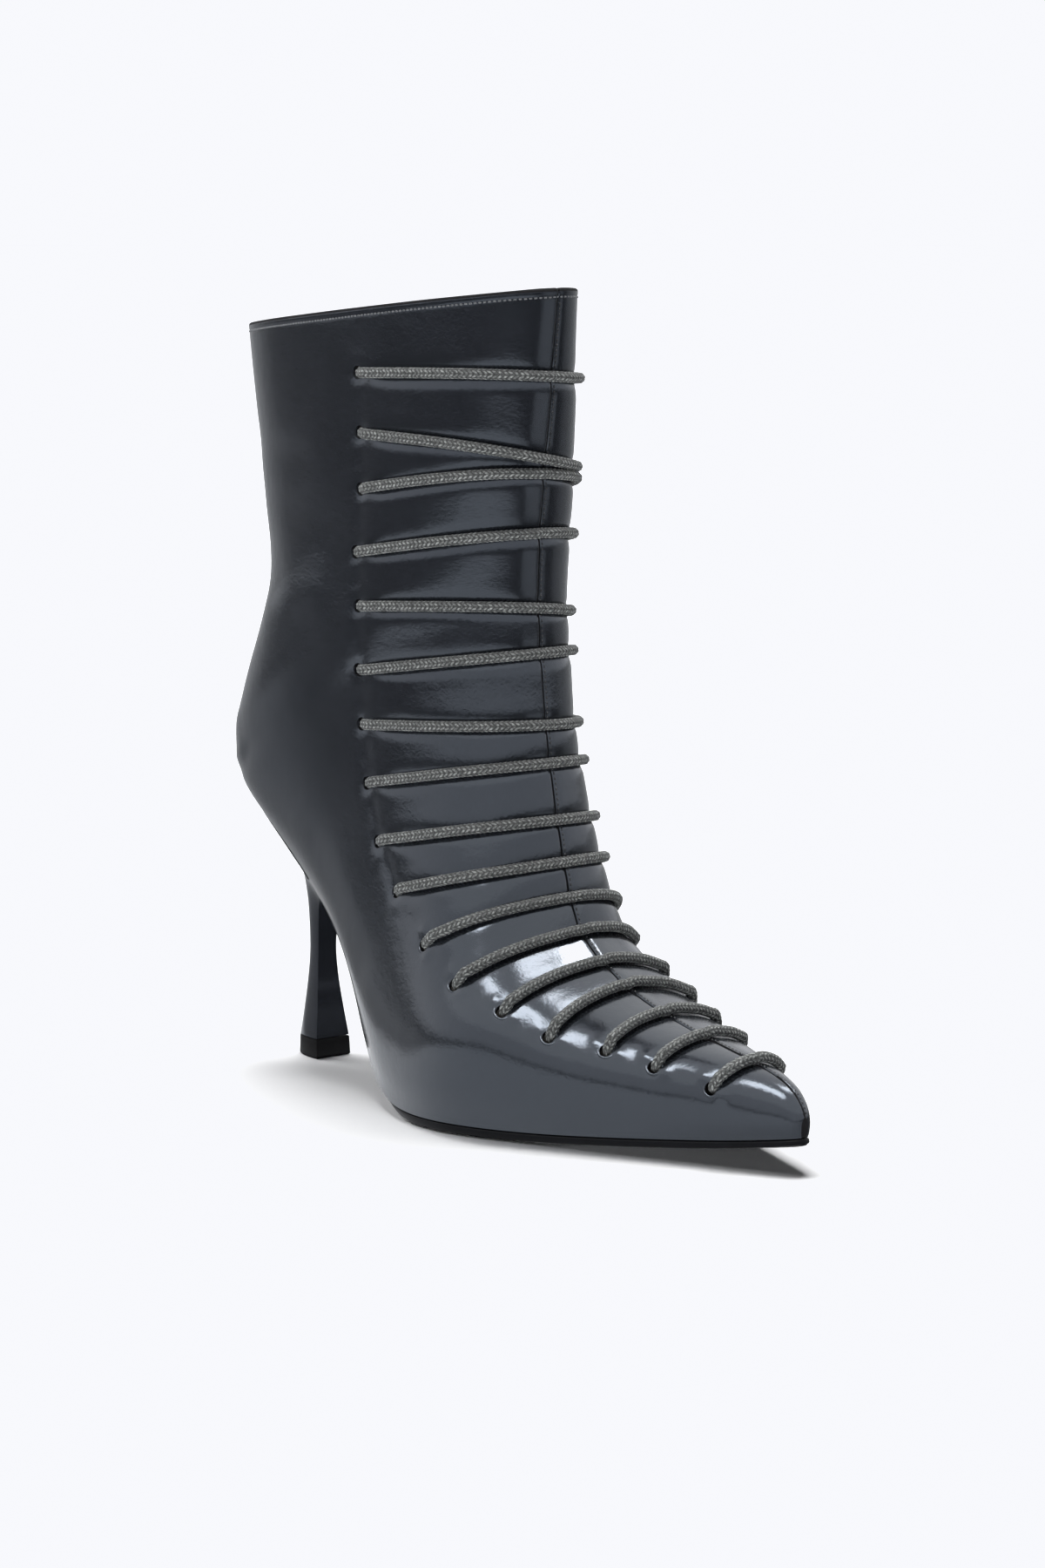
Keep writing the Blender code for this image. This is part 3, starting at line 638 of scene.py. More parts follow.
def collar_folds(outside, inside):
    """Rows of points over the collar's edge, half a round from the leather to the lining."""
    rise = outside[-1] - outside[-2]
    rise /= np.linalg.norm(rise, axis=-1, keepdims=True)
    middle = 0.5 * (outside[-1] + inside[-1])
    reach = 0.5 * (outside[-1] - inside[-1])
    width = np.linalg.norm(reach, axis=-1, keepdims=True)
    angles = math.pi * np.arange(1, FOLD_STEPS + 1) / (FOLD_STEPS + 1)
    return np.array([
        middle + reach * math.cos(angle) + rise * width * math.sin(angle) for angle in angles])


def make_upper(patent, lining, edge):
    """The leather upper with its lining: fine outside, plain inside, folded over at the collar."""
    stations, turns = upper_grid()
    outside, normals = leather(stations, turns)
    section = sections_at(stations)
    slim = smooth_step(0.0, WALL_TOE_WIDTH, np.minimum(section["lateral"], section["medial"]))
    inside = last_points(stations, turns) - normals * (WALL * slim)[..., None]
    rings = stations[:, 0] >= SEAT_BACK
    close_rear(outside, rings)
    close_rear(inside, rings)
    outside = np.concatenate((outside, collar_folds(outside, inside)))
    inside = inside[::RATIO, ::RATIO]
    fine = np.arange(outside[..., 0].size).reshape(outside.shape[:2])
    plain = fine.size + np.arange(inside[..., 0].size).reshape(inside.shape[:2])
    faces = quads(0, *fine.shape)
    faces += zip_faces(fine[-1].tolist(), plain[-1].tolist())
    seat_row = int(np.argmax(rings))
    for column in (0, -1):
        fine_edge = fine[:seat_row + 1, column]
        plain_edge = plain[:seat_row // RATIO + 1, column]
        faces += zip_faces(fine_edge.tolist(), plain_edge.tolist())
    lined = len(faces)
    faces += quads(fine.size, *plain.shape)
    points = np.concatenate((outside.reshape(-1, 3), inside.reshape(-1, 3)))
    piece = new_piece("upper_leather", points, faces, patent, lining, edge)
    away = seam_distance(stations, turns)
    away = 0.5 * (away[:-1, 1:] + away[:-1, :-1])
    face_finishes = np.zeros(len(faces), dtype=np.int32)
    # Faces in the front seam's groove take the dark edge finish: painted shade along the seam.
    face_finishes[:away.size][away.ravel() < SEAM_LINE] = 2
    face_finishes[away.size:lined] = 2
    face_finishes[lined:] = 1
    piece.data.polygons.foreach_set("material_index", face_finishes)
    turn_outwards(piece, 0.002)
    return piece


def hole_places():
    """Every lace hole: its place on the leather, the direction out of it and its cord's direction."""
    places = []
    for bar in BARS:
        for side, end in ((OUTER, "outer"), (INNER, "inner")):
            point, normal = leather(bar[end], side * bar["turn"])
            inward = bar["point"] - point
            inward = inward - normal * np.dot(inward, normal)
            inward = inward / np.linalg.norm(inward)
            places.append((point - HOLE_SHIFT * inward, normal, inward))
    return places


def punch_holes(upper, edge):
    """Cut the lace holes through leather and lining."""
    punches = []
    for point, normal, _ in hole_places():
        select_none()
        bpy.ops.mesh.primitive_cylinder_add(
            vertices=HOLE_SIDES, radius=HOLE_RADIUS * MM, depth=PUNCH_DEPTH * MM, location=point * MM,
            rotation=Vector(normal).to_track_quat("Z", "Y").to_euler())
        punches.append(bpy.context.object)
    punch = join("lace_hole_punch", punches)
    punch.data.materials.clear()
    punch.data.materials.append(edge)
    apply_modifier(upper, "BOOLEAN", operation="DIFFERENCE", solver="EXACT", object=punch)
    bpy.data.objects.remove(punch, do_unlink=True)
    finish_shading(upper, 38.0)


def make_hole_lips(patent):
    """The leather's edge round each hole, drawn up by the cord into a small roll."""
    lips = []
    for point, normal, inward in hole_places():
        side = np.cross(normal, inward)
        turn = Matrix((inward, side, normal)).transposed().to_4x4()
        select_none()
        bpy.ops.mesh.primitive_torus_add(
            major_segments=28, minor_segments=8,
            major_radius=LIP_RADIUS * MM, minor_radius=LIP_THICKNESS * MM)
        lip = bpy.context.object
        bpy.ops.object.mode_set(mode="EDIT")
        bpy.ops.mesh.select_all(action="SELECT")
        bpy.ops.transform.resize(value=(1.0, LIP_STRETCH, 1.0))
        bpy.ops.object.mode_set(mode="OBJECT")
        lip.data.transform(Matrix.Translation(Vector(point - LIP_SINK * normal) * MM) @ turn)
        lips.append(lip)
    piece = join("hole_lips", lips)
    piece.data.materials.clear()
    piece.data.materials.append(patent)
    finish_shading(piece, 60.0)
    return piece


# The lace

def run_lengths(points):
    """Distances along a line of points, from its start."""
    return np.concatenate(((0.0,), np.cumsum(np.linalg.norm(np.diff(points, axis=0), axis=1))))


def read_along(places, length, values):
    """Points or directions, read at places along a line."""
    return np.stack([np.interp(places, length, column) for column in values.T], axis=1)


def smooth_path(points, spacing):
    """Points evenly spaced along a smooth curve through given points, and their places on it."""
    padded = np.vstack((2.0 * points[0] - points[1], points, 2.0 * points[-1] - points[-2]))
    curve = []
    for a, b, c, d in zip(padded[:-3], padded[1:-2], padded[2:-1], padded[3:]):
        for t in np.linspace(0.0, 1.0, 12, endpoint=False):
            curve.append(0.5 * (2.0 * b + (c - a) * t + (2.0 * a - 5.0 * b + 4.0 * c - d) * t * t
                                + (3.0 * b - a - 3.0 * c + d) * t ** 3))
    curve.append(padded[-2])
    curve = np.array(curve)
    length = run_lengths(curve)
    places = np.linspace(0.0, length[-1], max(int(length[-1] / spacing), 2) + 1)
    return read_along(places, length, curve), places


BRAID_COLUMNS = 8       # columns of strands round the cord
BRAID_PITCH = 1.45      # length of one strand's crossing, along the cord
BRAID_LEAN = 0.9        # slant of a strand
BRAID_ROUND = 0.6       # fullness of a strand
BRAID_SINK = 0.12       # from the cord's radius to the braid's valleys
BRAID_RISE = 0.16       # and from there to its ridges
CORD_SIDES = 32
CORD_SPACING = 0.32


def braid_height(along, around):
    """Height of the braid: strands that slant left and right in neighbouring columns."""
    column = around * BRAID_COLUMNS
    x = column % 1.0
    lean = np.where((column * 0.5) % 1.0 < 0.5, 1.0, -1.0)
    strand = np.abs(np.sin(math.pi * (along / BRAID_PITCH + lean * (x - 0.5) * BRAID_LEAN)))
    return strand * np.sin(math.pi * x) ** BRAID_ROUND


def cord_route(bar):
    """The middle of a run of the lace, from hole to hole, and the outward direction at its start."""
    points, normals = leather(*bar_places(bar, 41))
    above = points + normals * (CORD_RADIUS + CORD_LIFT)
    span = run_lengths(above)
    over = above[(span > CORD_BEND) & (span < span[-1] - CORD_BEND)]
    start = [points[0] - normals[0] * depth for depth in (CORD_SINK, CORD_DIP)]
    end = [points[-1] - normals[-1] * depth for depth in (CORD_DIP, CORD_SINK)]
    return np.concatenate((start, over, end)), normals[0]


def make_cord(number, bar, material):
    """One run of the lace: a braided cord out of its outer hole and into its inner hole."""
    route, outward = cord_route(bar)
    path, places = smooth_path(route, CORD_SPACING)
    forward = np.gradient(path, axis=0)
    forward /= np.linalg.norm(forward, axis=1, keepdims=True)
    side = np.cross(forward[0], outward)
    around = np.arange(CORD_SIDES) / CORD_SIDES
    angles = 2.0 * math.pi * around[:, None]
    radii = CORD_RADIUS - BRAID_SINK + BRAID_RISE * braid_height(places[:, None], around[None, :])
    rings = []
    for centre, ahead, radius in zip(path, forward, radii):
        side = side - ahead * np.dot(side, ahead)
        side /= np.linalg.norm(side)
        up = np.cross(side, ahead)
        rings.append(centre + radius[:, None] * (np.cos(angles) * side + np.sin(angles) * up))
    count = len(rings)
    faces = quads(0, count, CORD_SIDES, wrap=True)
    faces.append(tuple(range(CORD_SIDES - 1, -1, -1)))
    faces.append(tuple((count - 1) * CORD_SIDES + i for i in range(CORD_SIDES)))
    piece = new_piece(f"lace_run_{number:02d}", np.concatenate(rings), faces, material)
    corners = []
    for near, far in zip(places[:-1], places[1:]):
        for i in range(CORD_SIDES):
            low, high = i / CORD_SIDES, (i + 1) / CORD_SIDES
            corners += [(near, low), (near, high), (far, high), (far, low)]
    corners += [(places[0], 0.0)] * CORD_SIDES + [(places[-1], 0.0)] * CORD_SIDES
    braid = piece.data.uv_layers.new(name="braid")
    braid.data.foreach_set("uv", np.array(corners, dtype=np.float32).ravel())
    turn_outwards(piece)
    finish_shading(piece, 70.0)
    return piece


# Stitches

def stitch_run(stations, turns, lift):
    """Even places for stitches along a line on the leather: middle, direction, outward."""
    points, normals = leather(stations, turns)
    length = run_lengths(points)
    count = int(length[-1] / STITCH_PITCH)
    places = (np.arange(count) + 0.5) * length[-1] / count
    outward = read_along(places, length, normals)
    forward = read_along(places + 0.5, length, points) - read_along(places - 0.5, length, points)
    return read_along(places, length, points) + outward * lift, forward, outward


def stitch_shape():
    """Points in millimetres and faces of one stitch: a short thread, bent down at its ends."""
    select_none()
    bpy.ops.mesh.primitive_cylinder_add(
        vertices=8, radius=STITCH_RADIUS * MM, depth=STITCH_LENGTH * MM, rotation=(0.0, math.pi / 2, 0.0))
    model = bpy.context.object
    bpy.ops.object.transform_apply(location=True, rotation=True, scale=True)
    bpy.ops.object.mode_set(mode="EDIT")
    bpy.ops.mesh.select_all(action="SELECT")
    bpy.ops.mesh.bevel(offset=STITCH_BEVEL * MM, segments=2, affect="EDGES")
    bpy.ops.object.mode_set(mode="OBJECT")
    points = np.array([corner.co for corner in model.data.vertices]) / MM
    points[:, 2] -= STITCH_BEND * (2.0 * points[:, 0] / STITCH_LENGTH) ** 2
    faces = [tuple(face.vertices) for face in model.data.polygons]
    bpy.data.objects.remove(model, do_unlink=True)
    return points, faces


def make_stitches(collar_thread, seam_thread):
    """The stitches of the collar and of the front seam, one shape copied along both lines."""
    shape, shape_faces = stitch_shape()
    around = np.linspace(-1.0, 1.0, 721)
    per_station = collar_distance(COLLAR - 1.0, around) + COLLAR_TRIM
    below = (COLLAR_BAND + COLLAR_TRIM + COLLAR_STITCH_DROP) / per_station
    down = np.linspace(COLLAR - 0.30, 0.7, 1200)
    section = sections_at(down)
    beside = SEAM_STITCHES / (6.0 * section["medial"] * section["crown_m"])
    rows = [
        stitch_run(COLLAR - below, around, COLLAR_STITCH_LIFT),
        stitch_run(down, beside, SEAM_STITCH_LIFT)]
    points, faces = [], []
    for row in rows:
        for middle, forward, outward in zip(*row):
            forward = forward / np.linalg.norm(forward)
            side = np.cross(outward, forward)
            side /= np.linalg.norm(side)
            first = len(points) * len(shape)
            points.append(middle + shape @ np.array((forward, side, np.cross(forward, side))))
            faces += [tuple(first + i for i in face) for face in shape_faces]
    piece = new_piece("stitches", np.concatenate(points), faces, collar_thread, seam_thread)
    face_finishes = np.ones(len(faces), dtype=np.int32)
    face_finishes[:len(rows[0][0]) * len(shape_faces)] = 0
    piece.data.polygons.foreach_set("material_index", face_finishes)
    finish_shading(piece, 50.0)
    return piece


# Sole, sock and heel

def sole_line(stations):
    """The middle of the upper's lower edge, and the upward direction of the sole there."""
    step = 0.05

    def middle(places):
        section = sections_at(places)
        return np.stack((section["rear_x"], np.zeros(places.shape), section["rear_z"]), axis=-1)

    along = middle(np.maximum(stations - step, 0.0)) - middle(np.minimum(stations + step, SEAT_BACK))
    along /= np.linalg.norm(along, axis=-1, keepdims=True)
    up = np.stack((-along[:, 2], np.zeros(stations.shape), along[:, 0]), axis=-1)
    return middle(stations), up


def sole_thickness(stations):
    """Outsole thickness: thin at the toe and waist, full under the ball."""
    front = SOLE_AT_TOE + (SOLE_AT_BALL - SOLE_AT_TOE) * np.sin(0.5 * math.pi * stations / BALL)
    part = np.clip((stations - BALL) / (BREAST - BALL), 0.0, 1.0)
    rear = SOLE_AT_BALL + (SOLE_AT_WAIST - SOLE_AT_BALL) * 0.5 * (1.0 - np.cos(math.pi * part))
    return np.where(stations < BALL, front, rear)


def layer(stations, low, high, grow, bevel, lift):
    """Loops of a thin layer along the sole, with rounded edges whose lower part is lifted by a share."""
    middle, up = sole_line(stations)
    section = sections_at(stations)
    outer = np.maximum(section["feather_l"] + grow, 0.05)
    inner = np.maximum(section["feather_m"] + grow, 0.05)
    profile = [(math.cos(angle), math.sin(angle)) for angle in np.linspace(0.5 * math.pi, -0.5 * math.pi, 9)]
    loops = []
    for i in range(len(stations)):
        half = 0.5 * (high[i] - low[i]) * (1.0 - lift[i])
        centre = high[i] - half
        round_edge = min(bevel, half, 0.8 * outer[i], 0.8 * inner[i])
        loop = []
        for side, reach in ((-1.0, outer[i]), (1.0, inner[i])):
            edge = []
            for c, s in profile:
                y = reach - round_edge + round_edge * c
                z = centre + math.copysign(half - round_edge, s) + round_edge * s
                edge.append(middle[i] + up[i] * z + np.array((0.0, side * y, 0.0)))
            y = max(reach - UNDERSIDE_INSET, UNDERSIDE_SHARE * reach)
            edge.append(middle[i] + up[i] * low[i] + np.array((0.0, side * y, 0.0)))
            loop += edge if side < 0 else edge[::-1]
        loop = np.array(loop)
        loop[:, 2] = np.maximum(loop[:, 2], 0.0)
        loops.append(loop)
    return loops


def loft(name, loops, material, crisp=35.0):
    """A closed piece through loops of equal count, with flat ends."""
    count = len(loops[0])
    points = np.concatenate(loops)
    faces = quads(0, len(loops), count, wrap=True)
    faces.append(tuple(range(count - 1, -1, -1)))
    faces.append(tuple(len(points) - count + i for i in range(count)))
    return closed_piece(name, points, faces, material, crisp)


def make_sole(material):
    """The thin sole, from the tip of the toe to the front of the heel."""
    breast_x = sole_line(np.array((BREAST,)))[0][0, 0]
    tries = np.linspace(BALL, BREAST, 2000)
    end = tries[np.searchsorted(-sole_line(tries)[0][:, 0], -(breast_x + GAP))]
    stations = np.concatenate((np.linspace(0.0, 3.0, 40)[:-1], np.linspace(3.0, end, 130)))
    thickness = sole_thickness(stations)
    waist = smooth_step(8.6, 10.2, stations)
    grow = SOLE_LIP - SOLE_TUCK * waist
    lift = 0.22 + 0.5 * waist
    top = np.full(stations.shape, -GAP)
    return loft("sole", layer(stations, top - thickness, top, grow, SOLE_BEVEL, lift), material)


def make_sock(material):
    """The padded sock over the insole, inside the boot."""
    stations = np.linspace(2.5, SEAT_BACK - 0.2, 110)
    high = np.full(stations.shape, SOCK_THICKNESS)
    return loft("sock", layer(stations, 0.0 * high, high, -SOCK_INSET, SOCK_BEVEL, 0.0 * high), material)


def heel_angles():
    """Even turns round the back of the heel, from its outer front corner to its inner one."""
    quarter = np.linspace(0.0, 0.5 * math.pi, HEEL_STEPS)
    return np.concatenate((quarter, quarter[-2::-1]))


def heel_loops(rows):
    """Sections of the heel: a flat front and a rounded back."""
    back = np.sin(heel_angles())
    side = np.cos(heel_angles()) ** HEEL_ROUNDNESS
    side[:HEEL_STEPS] *= -1.0
    loops = []
    for section in named(HEEL_COLUMNS, rows):
        loops.append(np.stack((
            section["breast_x"] + (section["back_x"] - section["breast_x"]) * back,
            side * section["half_width"],
            section["breast_z"] + (section["back_z"] - section["breast_z"]) * back), axis=1))
    return loops


def seat_loop():
    """The heel's top edge, under the upper's lower edge."""
    tries = np.linspace(BREAST, SEAT_BACK, 1500)
    x = sole_line(tries)[0][:, 0]
    places = x[0] + (x[-1] - x[0]) * np.sin(heel_angles())
    stations = np.interp(-places, -x, tries)
    turns = np.where(np.arange(len(stations)) < HEEL_STEPS, -1.0, 1.0)
    loop = leather(stations, turns)[0] - sole_line(stations)[1] * GAP
    loop[HEEL_STEPS - 1, 1] = 0.0
    return loop


def smooth_rows(loops, steps):
    """More loops between given ones, along smooth curves."""
    loops = np.array(loops)
    gaps = np.linalg.norm(np.diff(loops, axis=0), axis=-1).mean(axis=1)
    place = np.concatenate(((0.0,), np.cumsum(gaps)))
    slopes = np.gradient(loops, place, axis=0)
    made = []
    for i, gap in enumerate(gaps):
        for t in np.linspace(0.0, 1.0, steps, endpoint=False):
            between = (2 * t ** 3 - 3 * t ** 2 + 1) * loops[i] + (3 * t ** 2 - 2 * t ** 3) * loops[i + 1]
            bend = (t ** 3 - 2 * t ** 2 + t) * slopes[i] + (t ** 3 - t ** 2) * slopes[i + 1]
            made.append(between + gap * bend)
    made.append(loops[-1])
    return made


def make_heel(material):
    """The covered heel, from the seat through a slender stem to its foot."""
    loops = smooth_rows([seat_loop()] + heel_loops(HEEL_SECTIONS), HEEL_ROWS)
    count = len(loops[0])
    points = np.concatenate(loops)
    faces = quads(0, len(loops), count, wrap=True)
    for i in range(HEEL_STEPS - 1):
        faces.append((count - 1 - i, count - 2 - i, i + 1, i))
    faces.append(tuple(len(points) - count + i for i in range(count)))
    return closed_piece("heel_cover", points, faces, material, HEEL_CRISP)


def make_heel_tip(material):
    """The rubber tip under the heel, with its edges eased."""
    return loft("heel_tip", heel_loops(HEEL_TIP_SECTIONS), material, HEEL_CRISP)


# Materials

class Value:
    """A socket in a material that takes part in sums as a number does."""

    def __init__(self, tree, socket):
        self.tree = tree
        self.socket = socket

    def node(self, kind, settings=None, inputs=None, output=0):
        """Add any node: its settings first, then the values or links of its sockets."""
        node = self.tree.nodes.new(kind)
        for name, value in (settings or {}).items():
            setattr(node, name, value)
        for name, value in (inputs or {}).items():
            if isinstance(value, Value):
                self.tree.links.new(value.socket, node.inputs[name])
            else:
                node.inputs[name].default_value = value
        return Value(self.tree, node.outputs[output])

    def maths(self, operation, *values):
        """A Math node on numbers and sockets."""
        return self.node("ShaderNodeMath", {"operation": operation}, dict(enumerate(values)))

    def __add__(self, other):
        return self.maths("ADD", self, other)

    def __sub__(self, other):
        return self.maths("SUBTRACT", self, other)

    def __rsub__(self, other):
        return self.maths("SUBTRACT", other, self)

    def __mul__(self, other):
        return self.maths("MULTIPLY", self, other)

    def __truediv__(self, other):
        return self.maths("DIVIDE", self, other)

    def __rtruediv__(self, other):
        return self.maths("DIVIDE", other, self)

    def __pow__(self, other):
        return self.maths("POWER", self, other)

    __radd__ = __add__
    __rmul__ = __mul__

    def wave(self):
        """The size of the sine."""
        return self.maths("ABSOLUTE", self.maths("SINE", self))

    def fraction(self):
        """What is left over a whole number."""
        return self.maths("FRACT", self)

    def above(self, limit):
        """1 above a limit and 0 below it."""
        return self.maths("GREATER_THAN", self, limit)

    def split(self):
        """The first two parts of a place."""
        parts = self.node("ShaderNodeSeparateXYZ", None, {"Vector": self}).socket.node
        return [Value(self.tree, parts.outputs[axis]) for axis in "XY"]

    def ramp(self, low, high):
        """0 at low, 1 at high, smooth and held outside."""
        return self.node("ShaderNodeMapRange", {"interpolation_type": "SMOOTHSTEP"},
                         {"Value": self, "From Min": low, "From Max": high})

    def mix(self, low, high):
        """A colour between two, by this value."""
        node = self.node("ShaderNodeMix", {"data_type": "RGBA"}).socket.node
        self.tree.links.new(self.socket, node.inputs[0])
        # The node's colours go in at 6 and 7, and the mixed one comes out at 2
        for place, colour in ((6, low), (7, high)):
            if isinstance(colour, Value):
                self.tree.links.new(colour.socket, node.inputs[place])
            else:
                node.inputs[place].default_value = (*colour, 1.0)
        return Value(self.tree, node.outputs[2])


class Finish:
    """A material with one Principled shader."""

    def __init__(self, name, **constants):
        self.material = bpy.data.materials.new(name)
        self.material.use_nodes = True
        self.tree = self.material.node_tree
        self.shader = self.tree.nodes["Principled BSDF"]
        for socket, value in constants.items():
            self.shader.inputs[socket.replace("_", " ")].default_value = value
        self.start = Value(self.tree, None)
        self.place = self.start.node("ShaderNodeTexCoord", output="Object")

    def noise(self, size, detail=2.0, roughness=0.5, distortion=0.0):
        """Soft noise with features of a size in millimetres."""
        return self.start.node("ShaderNodeTexNoise", None, {
            "Vector": self.place, "Scale": 1.0 / (size * MM), "Detail": detail, "Roughness": roughness,
            "Distortion": distortion})

    def cells(self, size, feature="F1"):
        """Rounded cells of a size in millimetres."""
        return self.start.node("ShaderNodeTexVoronoi", {"feature": feature}, {
            "Vector": self.place, "Scale": 1.0 / (size * MM)}, "Distance")

    def put(self, socket, value):
        """Link a value to one of the shader's sockets."""
        self.tree.links.new(value.socket, self.shader.inputs[socket])

    def patches(self, socket, size, detail, dark, pale, low=0.3, high=0.7):
        """A colour that drifts between two, in patches of a size in millimetres."""
        self.put(socket, self.noise(size, detail).ramp(low, high).mix(dark, pale))

    def bump(self, height, depth, strength=1.0, under=None):
        """A bump of a height in millimetres, over another one."""
        inputs = {"Height": height, "Distance": depth * MM, "Strength": strength}
        if under:
            inputs["Normal"] = under
        return self.start.node("ShaderNodeBump", None, inputs)


def patent_finish():
    """Glossy coated leather: dark blue-grey, with a fine crumpled grain that shows at highlights."""
    finish = Finish("patent_leather", IOR=1.74, Specular_Tint=(0.78, 0.87, 1.0, 1.0))
    finish.patches("Base Color", 26.0, 3.0, (0.0078, 0.0090, 0.0118), (0.0108, 0.0122, 0.0156))
    grain = finish.noise(0.8, 3.0, roughness=0.6, distortion=0.6)
    pebbles = finish.cells(1.1, "SMOOTH_F1")
    finish.put("Roughness", 0.10 + 0.08 * finish.noise(4.0, 3.0))
    crumple = finish.noise(4.5, 2.0) + 0.4 * finish.noise(2.2, 2.0, distortion=1.0)
    swell = finish.bump(finish.noise(12.0, 2.0) + 0.4 * crumple, 0.20, 0.6)
    finish.put("Normal", finish.bump(grain + 0.3 * pebbles, 0.05, 0.75, swell))
    return finish.material


def cover_finish():
    """The heel's glossy cover."""
    finish = Finish("heel_cover", IOR=1.55, Specular_Tint=(0.80, 0.88, 1.0, 1.0))
    finish.patches("Base Color", 14.0, 2.0, (0.0065, 0.0078, 0.0115), (0.0095, 0.0110, 0.0155))
    finish.put("Roughness", 0.07 + 0.05 * finish.noise(4.0, 2.0))
    finish.put("Normal", finish.bump(finish.noise(2.2, 2.0), 0.02, 0.35))
    return finish.material


def lining_finish():
    """Soft lining leather."""
    finish = Finish("lining", IOR=1.45)
    finish.patches("Base Color", 18.0, 4.0, (0.10, 0.095, 0.09), (0.16, 0.15, 0.14), 0.25, 0.75)
    finish.put("Roughness", 0.62 + 0.2 * finish.noise(3.0, 2.0))
    finish.put("Normal", finish.bump(finish.cells(0.8) + finish.noise(0.5), 0.05, 0.6))
    return finish.material


def sole_finish():
    """Black sole with a satin edge and a fine texture."""
    finish = Finish("sole_black", IOR=1.22)
    finish.patches("Base Color", 8.0, 3.0, (0.0014, 0.0016, 0.0028), (0.0030, 0.0033, 0.0052))
    finish.put("Roughness", 0.32 + 0.18 * finish.noise(3.0, 3.0))
    finish.put("Normal", finish.bump(finish.noise(0.5, 3.0), 0.03, 0.5))
    return finish.material


def rubber_finish():
    """Black rubber of the heel tip."""
    finish = Finish("black_rubber", IOR=1.18)
    finish.patches("Base Color", 3.0, 3.0, (0.0016, 0.0016, 0.002), (0.0035, 0.0035, 0.004))
    finish.put("Roughness", 0.45 + 0.2 * finish.noise(1.5, 3.0))
    finish.put("Normal", finish.bump(finish.noise(0.35, 3.0), 0.03, 0.6))
    return finish.material


def edge_and_seam_shade_finish():
    """Dark cut edge of the leather inside the lace holes, the dark collar fold, and painted shade in the
    front seam's groove.
    """
    finish = Finish("cut_edge_and_seam_shade", IOR=1.25)
    finish.patches("Base Color", 1.0, 2.0, (0.005, 0.005, 0.006), (0.010, 0.010, 0.011))
    finish.put("Roughness", 0.7 + 0.1 * finish.noise(0.6))
    return finish.material


def thread_finish(name, dark, pale, roughness):
    """Sewing thread, twisted and slightly glossy."""
    finish = Finish(name, IOR=1.55)
    finish.patches("Base Color", 0.4, 2.0, dark, pale)
    finish.put("Roughness", roughness + 0.12 * finish.noise(0.3, 2.0))
    finish.put("Normal", finish.bump(finish.noise(0.15, 2.0), 0.02, 0.5))
    return finish.material


def cord_finish():
    """Waxed braided cord: grey, slanted strands with pale wax on their ridges and painted shade in the
    valleys between them.
    """
    finish = Finish("waxed_cord", IOR=1.5)
    along, around = finish.start.node("ShaderNodeUVMap", {"uv_map": "braid"}).split()
    column = around * BRAID_COLUMNS
    x = column.fraction()
    lean = 1.0 - 2.0 * (column * 0.5).fraction().above(0.5)
    phase = along / BRAID_PITCH + lean * (x - 0.5) * BRAID_LEAN
    strand = (phase * math.pi).wave()
    ridge = strand * (x * math.pi).wave() ** BRAID_ROUND
    wax = finish.noise(0.8, 3.0, roughness=0.6).ramp(0.40, 0.66)
    # The dark colour goes in the valleys between strands as painted shade; the ridges take the pale one,
    # flecked with wax.
    dark = finish.noise(7.0, 2.0).ramp(0.3, 0.7).mix((0.015, 0.016, 0.016), (0.030, 0.031, 0.031))
    pale = wax.mix((0.105, 0.112, 0.110), (0.46, 0.48, 0.465))
    finish.put("Base Color", (ridge ** 1.3).mix(dark, pale))
    finish.put("Roughness", 0.62 - 0.22 * wax * ridge)
    fibres = finish.noise(0.22, 3.0, roughness=0.7)
    finish.put("Normal", finish.bump(ridge + 0.35 * fibres, 0.14, 0.8))
    return finish.material


def gloss_floor_finish():
    """Painted reflection of the floor, as the gloss shows it: it glows as bright as its mesh says."""
    finish = Finish("gloss_floor", Emission_Strength=1.0, Roughness=1.0)
    glow = finish.start.node("ShaderNodeAttribute", {"attribute_name": "glow"}, None, "Fac")
    finish.put("Emission Color", glow.mix((0.0, 0.0, 0.0), (0.95, 0.97, 1.0)))
    finish.patches("Base Color", 200.0, 2.0, (0.0, 0.0, 0.0), (0.004, 0.004, 0.005))
    return finish.material


# The boot

patent = patent_finish()
lining = lining_finish()
cut_edge_and_seam_shade = edge_and_seam_shade_finish()
cord_material = cord_finish()

upper = make_upper(patent, lining, cut_edge_and_seam_shade)
punch_holes(upper, cut_edge_and_seam_shade)
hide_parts("upper")
lips = make_hole_lips(patent)
stitches = make_stitches(thread_finish("collar_thread", (0.09, 0.094, 0.10), (0.26, 0.268, 0.28), 0.34),
                         thread_finish("seam_thread", (0.006, 0.006, 0.007), (0.030, 0.031, 0.034), 0.14))
sole = make_sole(sole_finish())
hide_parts("outsole")
sock = make_sock(lining)
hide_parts("insole")
heel = make_heel(cover_finish())
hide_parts("heel")
tip = make_heel_tip(rubber_finish())
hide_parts("top_piece")
pieces = [upper, lips, stitches, sole, sock, heel, tip]
for number, bar in enumerate(BARS, start=1):
    run = make_cord(number, bar, cord_material)
    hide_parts(f"lace_bar_{number:02d}")
    pieces.append(run)
for piece in pieces:
    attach(piece, "root")


# Studio

PALE = (0.936, 0.945, 0.978)      # the photograph's plain background
DOME = 1.30                       # brightness of the soft light from above
STUDIO_RADIUS = 6.0
STUDIO_HEIGHT = 3.0
GLOSS_LIFT = 0.0008               # the gloss's own floor lies just over the floor
GLOSS_RIM = 5.8
CAMERA_AZIMUTH = 50.404           # degrees from the outer side towards the toe
CAMERA_ELEVATION = 8.403
CAMERA_DISTANCE = 1.5
CAMERA_AIM = (0.098692, 0.0, 0.09594)
FOCAL_PIXELS = 5865.9             # focal length in pixels of a picture of this height
PICTURE_HEIGHT = 1800.0
SENSOR = 36.0

